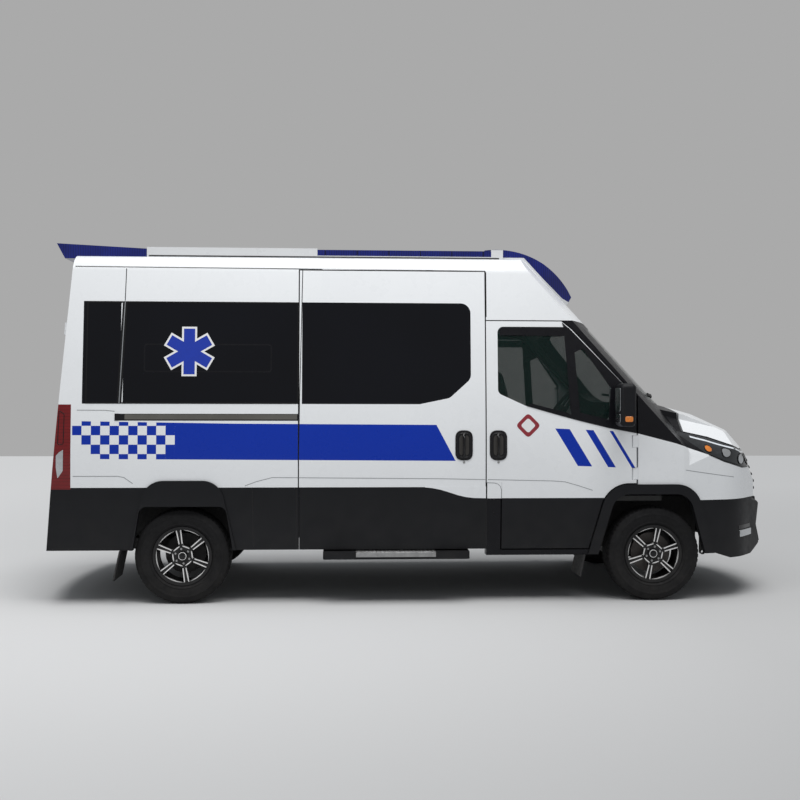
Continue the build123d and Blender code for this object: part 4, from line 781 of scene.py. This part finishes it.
class AMBULANCE_OT_seams(bpy.types.Operator):
    """Lines between fixed panels, painted shade along creases, window rubbers, the door's black frame and the
    track's face
    """
    bl_idname = "ambulance.seams"
    bl_label = "Seams and seals"

    def execute(self, context):
        wide = looks().seam_width
        fine = 0.004
        sweep_top = 0.8655
        rear_edge = [(-0.866, 2.476), (-0.885, 1.469), (-0.893, 0.875)]
        front_edge = [(0.500, 2.476), (0.500, 0.875)]
        sill_fold = [(-1.283, 0.874), (-1.20, 0.905), (-1.085, 0.935), (0.155, 0.924), (0.494, 0.917)]
        quarter_upper = [(-2.504, 1.429), (-2.297, 1.428), (-2.232, 1.421)]
        quarter_lower = [(-2.530, 0.946), (-2.207, 0.946), (-2.162, 0.937), (-2.098, 0.892)]
        door_fold = [(0.512, 0.917), (1.00, 0.906), (1.091, 0.899), (1.200, 0.868), (1.300, 0.835)]
        sweep = [(0.043, 0.860), (0.100, 0.854), (0.160, 0.842), (0.220, 0.824), (0.290, 0.801),
                 (0.350, 0.787), (0.410, 0.780), (0.498, 0.778)]
        sweep_faces = [[a, b, (b[0], sweep_top), (a[0], sweep_top)] for a, b in zip(sweep, sweep[1:])]
        post_corner = [(0.614, 0.779), (0.614, 0.840), (0.606, 0.866), (0.588, 0.884), (0.560, 0.891),
                       (0.508, 0.893)]
        rear_glass = [(-2.440, 2.226), (-0.897, 2.226), (-0.897, 1.482), (-2.440, 1.482)]
        pillar = [(-2.169, 2.228), (-2.201, 1.480)]
        vent = rounded([(-2.022, 1.914), (-1.095, 1.914), (-1.095, 1.714), (-2.022, 1.714)], 0.02, 3)
        door_frame = [
            [(0.604, 1.994), (0.604, 2.036), (0.622, 2.053), (1.090, 2.055), (1.095, 1.990)],
            [(1.090, 2.055), (1.078, 2.092), (1.146, 2.034), (1.235, 1.896), (1.170, 1.868), (1.095, 1.990)],
            [(1.095, 1.990), (1.170, 1.868), (1.205, 1.416), (1.138, 1.403)],
            [(1.146, 2.034), (1.631, 1.530), (1.441, 1.600), (1.235, 1.896)],
            [(1.631, 1.530), (1.631, 1.262), (1.429, 1.299), (1.422, 1.364), (1.441, 1.600)],
            [(1.422, 1.364), (1.429, 1.299), (1.205, 1.353), (1.142, 1.370), (1.138, 1.403), (1.205, 1.416)],
            [(1.138, 1.403), (1.142, 1.370), (1.052, 1.394), (0.806, 1.463), (0.836, 1.484), (1.060, 1.426)]]
        seam = ((-0.004, 0.0006), 0.09, "gloss_black", "frame_black")
        sill = ((-0.003, 0.0006), 0.09, "gloss_black", "frame_black")
        # Creases are thin grey strips of painted shade along the body's folds
        crease_shade = ((-0.003, 0.0008), 0.08, "crease_grey", "white_paint")
        patch = ((-0.002, 0.0012), 0.08, "white_paint", "white_paint")
        for name, side in SIDES:
            body = "front_door_" + name
            rear_title, front_title = "seam_panel_seam", "seam_post_line"
            if side < 0:
                rear_title, front_title = "seam_slider_rear", "seam_slider_front"
            # Title, outlines, reach over gaps, and what follows the place in skin
            rows = [
                ("seam_pillar_upper", strip([(-2.164, 2.476), (-2.170, 2.236)], wide), 0.006, *seam),
                ("seam_gutter_line", strip([(-2.538, 2.490), (0.500, 2.478)], wide), 0.006, *seam),
                ("seam_post_seam", strip([(0.506, 2.470), (0.506, 2.13)], wide), 0.006, *seam),
                (rear_title, strip(rear_edge, wide), 0.006, *seam),
                (front_title, strip(front_edge, wide), 0.006, *seam),
                ("seam_sill_a", strip([(-1.230, 0.84), (-1.222, 0.42)], wide), 0.006, *sill),
                ("seam_sill_b", strip([(-0.905, 0.85), (-0.909, 0.42)], wide), 0.006, *sill),
                ("seam_sill_c", strip([(0.500, 0.77), (0.504, 0.42)], wide), 0.006, *sill),
                ("sill_crease", strip(sill_fold, fine), 0.006, *crease_shade),
                ("quarter_crease_upper", strip(quarter_upper, fine), 0.006, *crease_shade),
                ("quarter_crease_lower", strip(quarter_lower, fine), 0.006, *crease_shade),
                ("door_crease", strip(door_fold, fine), 0.0, *crease_shade, body),
                ("sill_sweep", sweep_faces, 0.02, *patch),
                ("post_foot", [bar(0.508, 0.6165, 0.777, 0.8945)], 0.03, *patch),
                # post_line is a thin grey strip of painted shade round the corner of the post's foot
                ("post_line", strip(post_corner, fine), 0.03, (0.0008, 0.0018), 0.08, "crease_grey",
                 "white_paint"),
                ("glass_rim_rear", strip(rear_glass, 0.010, True), 0.012, (-0.001, 0.0016), 0.09,
                 "gloss_black", "rubber"),
                ("glass_gap", strip(pillar, 0.034), 0.012, (-0.003, 0.0008), 0.09, "gloss_black",
                 "dark_glass"),
                ("glass_bar", strip(pillar, 0.006), 0.012, (-0.003, 0.0018), 0.09, "crease_grey",
                 "dark_glass"),
                ("glass_vent", strip(vent, 0.011, True), 0.0, (-0.002, 0.0003), 0.09, "frame_black",
                 "rubber"),
                ("door_frame", door_frame, 0.014, (-0.003, 0.0030), 0.05, "frame_black", "frame_black", body),
            ]
            if side < 0:
                rows += [
                    ("track_face", [bar(-2.160, -0.902, 1.361, 1.399)], 0.006, (-0.002, 0.0009), 0.09,
                     "track_grey", "rubber"),
                    ("track_end_a", [bar(-2.232, -2.200, 1.352, 1.404)], 0.01, (-0.004, 0.003), 0.05,
                     "gloss_black", "rubber", "root", 0.001),
                    ("track_end_b", [bar(-0.900, -0.886, 1.356, 1.400)], 0.012, (-0.004, 0.002), 0.05,
                     "gloss_black", "rubber", "root", 0.001)]
            for title, loops, reach, *rest in rows:
                skin("%s_%s" % (title, name), loops, on_side(side, reach), *rest)
        return {"FINISHED"}


class AMBULANCE_OT_front(bpy.types.Operator):
    """Headlamp optics, grille slats, bumper intake, fog lamps, wipers and the blank plate"""
    bl_idname = "ambulance.front"
    bl_label = "Front end"

    def execute(self, context):
        crown = corner_line((2.10, 0.94, 1.232), (2.225, 0.93, 1.203), (2.36, 0.90, 1.158),
                            (2.49, 0.82, 1.112), (2.58, 0.70, 1.108))
        chin = corner_line((2.19, 0.935, 1.098), (2.32, 0.91, 1.047), (2.49, 0.82, 1.0), (2.60, 0.66, 0.997))
        fold = corner_line((2.00, 0.955, 0.985), (2.2, 0.945, 0.955), (2.40, 0.88, 0.925))
        fog_slot = corner_line((2.46, 0.86, 0.537), (2.60, 0.70, 0.537))
        fog_lens = corner_line((2.48, 0.85, 0.487), (2.62, 0.68, 0.487))
        rows = [
            ("lamp_edge", strip(chin, 0.009), (-0.002, 0.0025), 0.05, "gloss_black", "lamp_clear"),
            # The wing crease is a thin grey strip of painted shade along the wing's fold
            ("wing_crease", strip(fold, 0.004), (-0.002, 0.0008), 0.05, "crease_grey", "white_paint"),
            ("fog_slot", strip(fog_slot, 0.030), (-0.002, 0.003), 0.05, "gloss_black", "grille_black", "root",
             0.002),
            ("fog_lens", strip(fog_lens, 0.052), (-0.002, 0.004), 0.05, "reflector", "lamp_clear", "root",
             0.003),
        ]
        # Each optic: X, Y, Z, radius, finish and the width of its bezel
        optics = ((2.20, 0.93, 1.145, 0.026, "amber_lens", 0.005),
                  (2.33, 0.905, 1.112, 0.036, "reflector", 0.006),
                  (2.47, 0.83, 1.062, 0.042, "reflector", 0.006),
                  (2.57, 0.715, 1.052, 0.042, "reflector", 0.006))
        for name, side in SIDES:
            place = on_corner(side)
            skin("lamp_strip_" + name, strip(crown, 0.014), place, (-0.002, 0.003), 0.05, "light_strip",
                 "lamp_clear", soft=0.001)
            for k, (x, y, z, r, finish, width) in enumerate(optics):
                spin = corner_line((x, y, z))[0][0]
                reach = math.hypot(x - NOSE_X, y - NOSE_Y)
                ring = [(spin + (u - spin) / reach, v) for u, v in circle(spin, z, r, 24)]
                skin("lamp_optic_%s_%d" % (name, k), [ring], place, (-0.002, 0.0045), 0.02, finish,
                     "lamp_clear", soft=0.0015)
                skin("lamp_bezel_%s_%d" % (name, k), strip(ring, width, True), place, (-0.001, 0.007), 0.02,
                     "gloss_black", "lamp_clear", soft=0.001)
            lay(rows, name, place)
            start, end = side * 0.72, side * 0.06
            blade = []
            for k in range(11):
                z = 1.555 - 0.02 * math.sin(math.pi * k / 10)
                blade.append(on_front(start + (end - start) * k / 10, z, 0.012))
            tube("wiper_blade_" + name, blade, 0.007, "rubber", "rubber", flat=1.6)
            arm = [on_front(side * 0.12, 1.492, 0.010), on_front(side * 0.16, 1.515, 0.022),
                   on_front(side * 0.39, 1.552, 0.024)]
            tube("wiper_arm_" + name, arm, 0.008, "frame_black", "frame_black", flat=0.7)
        for k in range(5):
            z = 0.815 + 0.055 * k
            skin("grille_slat_%d" % k, strip([(-0.575, z), (0.575, z)], 0.020), on_front, (-0.004, 0.010),
                 0.06, "gloss_black", "grille_black", soft=0.004)
        for k, z in enumerate((0.420, 0.455, 0.490)):
            skin("intake_slat_%d" % k, strip([(-0.50, z), (0.50, z)], 0.013), on_front, (-0.003, 0.006), 0.06,
                 "grille_black", "grille_black", soft=0.002)
        intake = rounded(bar(-0.54, 0.54, 0.395, 0.515), 0.03, 4)
        skin("intake_frame", strip(intake, 0.014, True), on_front, (-0.003, 0.007), 0.06, "black_plastic",
             "black_plastic", soft=0.003)
        plate = rounded(bar(-0.26, 0.26, 0.600, 0.712), 0.012, 3)
        flat = stiff(on_front, plate)
        skin("front_plate", [plate], flat, (-0.020, 0.003), 0.12, "badge_white", "roof_white")
        skin("front_plate_edge", strip(plate, 0.012, True), flat, (-0.022, 0.005), 0.12, "black_plastic",
             "black_plastic")
        return {"FINISHED"}


class AMBULANCE_OT_roof(bpy.types.Operator):
    """The blue crown of the front lamp, gaskets of the rails and joints of the side bars"""
    bl_idname = "ambulance.roof"
    bl_label = "Roof gear"

    def execute(self, context):
        crown = rounded(bar(0.660, 1.020, -0.640, 0.640), 0.05, 4)
        skin("dome_crown", [crown], on_top(gear), (-0.004, 0.0035), 0.04, "lamp_blue", "lamp_blue")
        for name, side in SIDES:
            place = on_side(side, tree=gear)
            skin("rail_gasket_" + name, strip([(-2.02, 2.585), (0.62, 2.585)], 0.009), place, (-0.004, 0.002),
                 0.1, "rubber", "rubber")
            for k in range(6):
                x = -0.70 + 0.24 * k
                skin("bar_joint_%s_%d" % (name, k), strip([(x, 2.600), (x, 2.636)], 0.006), place,
                     (-0.002, 0.0015), 0.03, "gloss_black", "rubber")
        return {"FINISHED"}


class AMBULANCE_OT_emblems(bpy.types.Operator):
    """The plain six-armed star and the plain red door badge"""
    bl_idname = "ambulance.emblems"
    bl_label = "Signs"

    def execute(self, context):
        size = looks().star_size
        half, rim = size * 0.30, 0.014
        outline = star(-1.696, 1.862, size, half)
        inside = star(-1.696, 1.862, size - rim, half - rim)
        diamond = rounded([(0.815, 1.225), (0.909, 1.319), (0.815, 1.413), (0.721, 1.319)], 0.030)
        field = rounded([(0.815, 1.262), (0.872, 1.319), (0.815, 1.376), (0.758, 1.319)], 0.018)
        for name, side in SIDES:
            body = "front_door_" + name
            lay([("star_border", [outline], (-0.0005, 0.0008), 0.15, "badge_white", "roof_white"),
                 ("star", [inside], (0.0006, 0.0014), 0.15, "emblem_blue", "lamp_blue"),
                 ("badge", [diamond], (-0.0005, 0.0009), 0.15, "badge_red", "lamp_red", body),
                 ("badge_field", [field], (0.0007, 0.0015), 0.15, "badge_white", "roof_white", body)],
                name, on_side(side))
        return {"FINISHED"}


class AMBULANCE_OT_seats(bpy.types.Operator):
    """Cushions, backs and headrests in place of the plain seat blocks"""
    bl_idname = "ambulance.seats"
    bl_label = "Seats"

    def execute(self, context):
        upright = Matrix.Rotation(math.radians(90), 4, "Y")
        # Each sewn channel: axis, place, width and depth
        bolsters = ((1, -0.150, 0.010, 0.010), (1, 0.150, 0.010, 0.010))
        for name, side in SIDES:
            y = side * 0.48
            seat = pad("seat_cushion_" + name, (0.238, 0.238, 0.062), 0.045,
                       Matrix.Translation((0.94, y, 1.120)), 0.012, bolsters + ((0, 0.02, 0.008, 0.007),))
            lean = Matrix.Translation((0.82, y, 1.120)) @ Matrix.Rotation(math.radians(-14), 4, "Y")
            pad("seat_back_" + name, (0.285, 0.238, 0.055), 0.045,
                lean @ Matrix.Translation((-0.060, 0, 0.35)) @ upright, 0.012,
                bolsters + ((0, -0.05, 0.008, 0.007),))
            pad("headrest_" + name, (0.088, 0.132, 0.044), 0.038,
                lean @ Matrix.Translation((-0.060, 0, 0.735)) @ upright, 0.006, (), 12)
            block("seat_base_" + name, (0.94, y, 0.920), (0.44, 0.37, 0.268), "dash_plastic", "dash_plastic",
                  0.012)
            for k, shift in enumerate((-0.055, 0.055)):
                foot, top = lean @ Vector((-0.060, shift, 0.61)), lean @ Vector((-0.060, shift, 0.69))
                tube("headrest_post_%s_%d" % (name, k), [foot, foot.lerp(top, 0.5), top], 0.006,
                     "bright_steel", "seat_cloth")
            if side < 0:
                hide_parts("cab_seats")
        return {"FINISHED"}


class AMBULANCE_OT_rear(bpy.types.Operator):
    """Rear door handle, blank plate, lamp lenses, high lamp, seals and step tread"""
    bl_idname = "ambulance.rear"
    bl_label = "Rear end"

    def execute(self, context):
        back = on_back()
        handle = rounded(bar(0.020, 0.150, 1.200, 1.290), 0.02, 4)
        skin("rear_handle_plate", [handle], back, (-0.002, 0.008), 0.06, "gloss_black", "black_plastic",
             "rear_door_left", 0.003)
        grip = [back(0.040 + 0.0125 * k, 1.245, 0.008 + 0.020 * math.sin(math.pi * k / 8)) for k in range(9)]
        tube("rear_handle_grip", grip, 0.010, "gloss_black", "black_plastic", "rear_door_left", 0.8)
        plate = rounded(bar(-0.62, -0.14, 0.86, 0.975), 0.012, 3)
        flat = stiff(back, plate)
        plate_lamp = rounded(bar(-0.50, -0.26, 1.000, 1.022), 0.008, 3)
        skin("rear_plate", [plate], flat, (-0.004, 0.003), 0.12, "badge_white", "roof_white",
             "rear_door_right")
        skin("rear_plate_edge", strip(plate, 0.012, True), flat, (-0.004, 0.005), 0.12, "black_plastic",
             "black_plastic", "rear_door_right")
        skin("rear_plate_lamp", [plate_lamp], back, (-0.002, 0.014), 0.06, "black_plastic", "black_plastic",
             "rear_door_right", 0.003)
        clear = rounded([(-2.600, 1.140), (-2.602, 0.986), (-2.640, 0.930), (-2.652, 1.010), (-2.652, 1.097),
                         (-2.627, 1.124)], 0.006, 2)
        lens = rounded([(-2.640, 1.180), (-2.600, 1.180), (-2.595, 1.400), (-2.632, 1.425)], 0.010, 3)
        for name, side in SIDES:
            body = "rear_door_" + name
            window = rounded([(side * 0.122, 1.512), (side * 0.728, 1.512), (side * 0.728, 2.203),
                              (side * 0.122, 2.203)], 0.045)
            fold = [(side * 0.10, 1.385), (side * 0.78, 1.385)]
            lay([("rear_glass_rim", strip(window, 0.018, True), (-0.002, 0.0045), 0.08, "rubber", "rubber",
                  body, 0.002),
                 ("rear_door_fold", strip(fold, 0.020), (-0.002, 0.003), 0.08, "white_paint", "white_paint",
                  body, 0.0015)], name, back)
            lay([("tail_clear", [clear], (-0.002, 0.002), 0.04, "reflector", "lamp_clear", "root", 0.001),
                 ("tail_lens", strip(lens, 0.005, True), (-0.002, 0.0015), 0.04, "gloss_black", "lamp_red",
                  "root", 0.0005)], name, on_side(side))
            reverse = rounded(bar(side * 0.95, side * 0.978, 0.935, 1.145), 0.006, 3)
            skin("tail_reverse_" + name, [reverse], back, (-0.002, 0.003), 0.04, "light_strip", "lamp_clear",
                 soft=0.001)
        high_lamp = rounded(bar(-0.16, 0.16, 2.448, 2.470), 0.008, 3)
        skin("high_lamp", [high_lamp], back, (-0.002, 0.010), 0.05, "lamp_red", "lamp_red", soft=0.002)
        top = on_top(search_tree("rear_bumper"))
        for k in range(5):
            x = -2.762 + 0.014 * k
            skin("step_rib_%d" % k, strip([(x, -0.55), (x, 0.55)], 0.006), top, (-0.002, 0.003), 0.08,
                 "rubber", "rubber", soft=0.001)
        return {"FINISHED"}


class AMBULANCE_OT_step(bpy.types.Operator):
    """The side step's bright tread plate, its edge and its ribs"""
    bl_idname = "ambulance.step"
    bl_label = "Side step"

    def execute(self, context):
        tree = search_tree("side_step")
        top = on_top(tree)
        steel = (0.1, "bright_steel", "chassis_steel", "root")
        skin("side_tread", [bar(-0.467, 0.122, -1.046, -0.930)], top, (-0.001, 0.003), *steel, 0.001)
        skin("side_tread_edge", [bar(-0.467, 0.122, 0.352, 0.386)], on_side(-1, tree=tree), (-0.001, 0.003),
             *steel, 0.001)
        for k in range(20):
            x = -0.45 + 0.029 * k
            rib = rounded(bar(x, x + 0.012, -1.03, -0.945), 0.005, 3)
            skin("side_tread_rib_%d" % k, [rib], top, (0.002, 0.0055), *steel, 0.0008)
        return {"FINISHED"}


class AMBULANCE_OT_arches(bpy.types.Operator):
    """Dark inner walls behind the wheels"""
    bl_idname = "ambulance.arches"
    bl_label = "Arch walls"

    def execute(self, context):
        for end, x, _ in WHEELS:
            for name, side in SIDES:
                block("arch_wall_%s_%s" % (end, name), (x, side * 0.505, 0.545), (0.94, 0.004, 0.400),
                      "rubber", "rubber")
        return {"FINISHED"}


class AMBULANCE_OT_mirrors(bpy.types.Operator):
    """Mirror glasses, indicators and housings' joints"""
    bl_idname = "ambulance.mirrors"
    bl_label = "Mirrors"

    def execute(self, context):
        for name, side in SIDES:
            tree = search_tree("mirror_" + name)
            body = "front_door_" + name
            glass = rounded(bar(side * 1.078, side * 1.222, 1.425, 1.600), 0.02, 4)
            small = rounded(bar(side * 1.078, side * 1.222, 1.345, 1.412), 0.015, 4)
            lay([("mirror_glass", [glass], (-0.001, 0.002), 0.05, "reflector", "clear_glass", body, 0.001),
                 ("mirror_wide", [small], (-0.001, 0.002), 0.05, "reflector", "clear_glass", body, 0.001)],
                name, on_back(tree))
            indicator = rounded(bar(1.480, 1.538, 1.352, 1.392), 0.012, 4)
            joint = strip([(1.475, 1.600), (1.472, 1.345)], 0.004)
            lay([("mirror_indicator", [indicator], (-0.002, 0.004), 0.03, "amber_lens", "lamp_clear", body,
                  0.002),
                 ("mirror_joint", joint, (-0.001, 0.0012), 0.04, "gloss_black", "black_plastic", body)],
                name, on_side(side, tree=tree))
        return {"FINISHED"}


class AMBULANCE_OT_stage(bpy.types.Operator):
    """Pale floor, grey backdrop, soft lamps and the photograph's camera"""
    bl_idname = "ambulance.stage"
    bl_label = "Stage"

    def floor(self, scene):
        """A matt floor with painted light, lighter far away and to the left, that ends where the photograph's
        does.
        """
        half_width, near_edge, far_edge = 70, -45, 18.1
        net = Net("stage_floor", (0.50, 0.50, 0.50), 0.9, spec=0.0)
        x, y, _ = net.axes(net.place)
        # Painted light: the floor's colour grows lighter far away and towards the left
        deep = net.mix(net.ramp(y, -6.0, 9.0, 0.0, 1.0), (0.46, 0.46, 0.46, 1), (0.62, 0.62, 0.62, 1))
        painted_floor_light = net.mix(net.ramp(x, -6.0, 2.0, 1.0, 0.0), deep, (0.74, 0.74, 0.74, 1))
        net.feed(net.shader.inputs["Base Color"], painted_floor_light)
        mesh = bpy.data.meshes.new("stage_floor")
        corners = bar(-half_width, half_width, near_edge, far_edge)
        mesh.from_pydata([(u, v, 0) for u, v in corners], [], [(0, 1, 2, 3)])
        mesh.materials.append(made["stage_floor"])
        obj = bpy.data.objects.new("stage_floor", mesh)
        scene.collection.objects.link(obj)

    def world(self, scene):
        """A pale light all round; what sees it directly, in a reflection or through glass sees plain grey."""
        world = bpy.data.worlds.new("studio")
        scene.world = world
        world.use_nodes = True
        tree = world.node_tree
        back = tree.nodes["Background"]
        back.inputs[0].default_value = (0.92, 0.96, 1.0, 1)
        back.inputs[1].default_value = 0.33
        seen = tree.nodes.new("ShaderNodeBackground")
        seen.inputs[0].default_value = (0.402, 0.402, 0.402, 1)
        rays = tree.nodes.new("ShaderNodeLightPath")
        blend = tree.nodes.new("ShaderNodeMixShader")
        shown = rays.outputs["Is Camera Ray"]
        for kind in ("Is Glossy Ray", "Is Transmission Ray"):
            most = tree.nodes.new("ShaderNodeMath")
            most.operation = "MAXIMUM"
            tree.links.new(shown, most.inputs[0])
            tree.links.new(rays.outputs[kind], most.inputs[1])
            shown = most.outputs[0]
        for socket, source in zip(blend.inputs, (shown, back.outputs[0], seen.outputs[0])):
            tree.links.new(source, socket)
        tree.links.new(blend.outputs[0], tree.nodes["World Output"].inputs[0])

    def lamp(self, scene, name, kind, energy, direction, place=(0.0, 0.0, 0.0), **values):
        light = bpy.data.lights.new(name, kind)
        light.energy = energy
        for key, value in values.items():
            setattr(light, key, value)
        obj = bpy.data.objects.new(name, light)
        obj.location = place
        obj.rotation_euler = Vector(direction).to_track_quat("-Z", "Y").to_euler()
        scene.collection.objects.link(obj)

    def camera(self, scene):
        yaw, pitch, roll = math.radians(2.905), math.radians(-0.22), math.radians(0.121)
        ahead = Vector((math.sin(yaw) * math.cos(pitch), math.cos(yaw) * math.cos(pitch), math.sin(pitch)))
        level = ahead.cross(Vector((0, 0, 1))).normalized()
        up = level.cross(ahead)
        right = level * math.cos(roll) + up * math.sin(roll)
        top = up * math.cos(roll) - level * math.sin(roll)
        camera = bpy.data.objects.new("camera", bpy.data.cameras.new("camera"))
        turn = Matrix((right, top, -ahead)).transposed().to_4x4()
        camera.matrix_world = Matrix.Translation((-0.537, -8.762, 1.537)) @ turn
        camera.data.sensor_width = 36.0
        camera.data.lens = 47.25
        camera.data.clip_end = 300.0
        scene.collection.objects.link(camera)
        scene.camera = camera

    def execute(self, context):
        scene = context.scene
        scene.view_settings.view_transform = "Standard"
        self.floor(scene)
        self.world(scene)
        self.lamp(scene, "sun", "SUN", looks().sun_strength, (-0.05, 0.12, -1.0), angle=math.radians(38))
        self.lamp(scene, "strip", "AREA", looks().strip_power, (0.0, 1.0, -0.95), (-0.3, -3.3, 4.7),
                  shape="RECTANGLE", size=7.0, size_y=1.2)
        self.camera(scene)
        return {"FINISHED"}


PIECE_OPERATORS = (AMBULANCE_OT_paint, AMBULANCE_OT_tyres, AMBULANCE_OT_rims, AMBULANCE_OT_handles,
                   AMBULANCE_OT_seams, AMBULANCE_OT_front, AMBULANCE_OT_roof, AMBULANCE_OT_emblems,
                   AMBULANCE_OT_seats, AMBULANCE_OT_rear, AMBULANCE_OT_step, AMBULANCE_OT_arches,
                   AMBULANCE_OT_mirrors, AMBULANCE_OT_stage)


class AMBULANCE_PT_looks(bpy.types.Panel):
    """Sizes and colours with a button for each group of pieces"""
    bl_idname = "AMBULANCE_PT_looks"
    bl_label = "Ambulance"
    bl_space_type = "VIEW_3D"
    bl_region_type = "UI"
    bl_category = "Ambulance"

    def draw(self, context):
        for key in AmbulanceLooks.__annotations__:
            self.layout.prop(context.scene.ambulance_looks, key)
        for operator in PIECE_OPERATORS:
            self.layout.operator(operator.bl_idname)


CLASSES = (AmbulanceLooks,) + PIECE_OPERATORS + (AMBULANCE_PT_looks,)


def register():
    for one in CLASSES:
        bpy.utils.register_class(one)
    bpy.types.Scene.ambulance_looks = PointerProperty(type=AmbulanceLooks)


def unregister():
    del bpy.types.Scene.ambulance_looks
    for one in reversed(CLASSES):
        bpy.utils.unregister_class(one)


def main():
    register()
    for operator in PIECE_OPERATORS:
        getattr(bpy.ops.ambulance, operator.bl_idname.split(".")[1])()


if __name__ == "__main__":
    main()
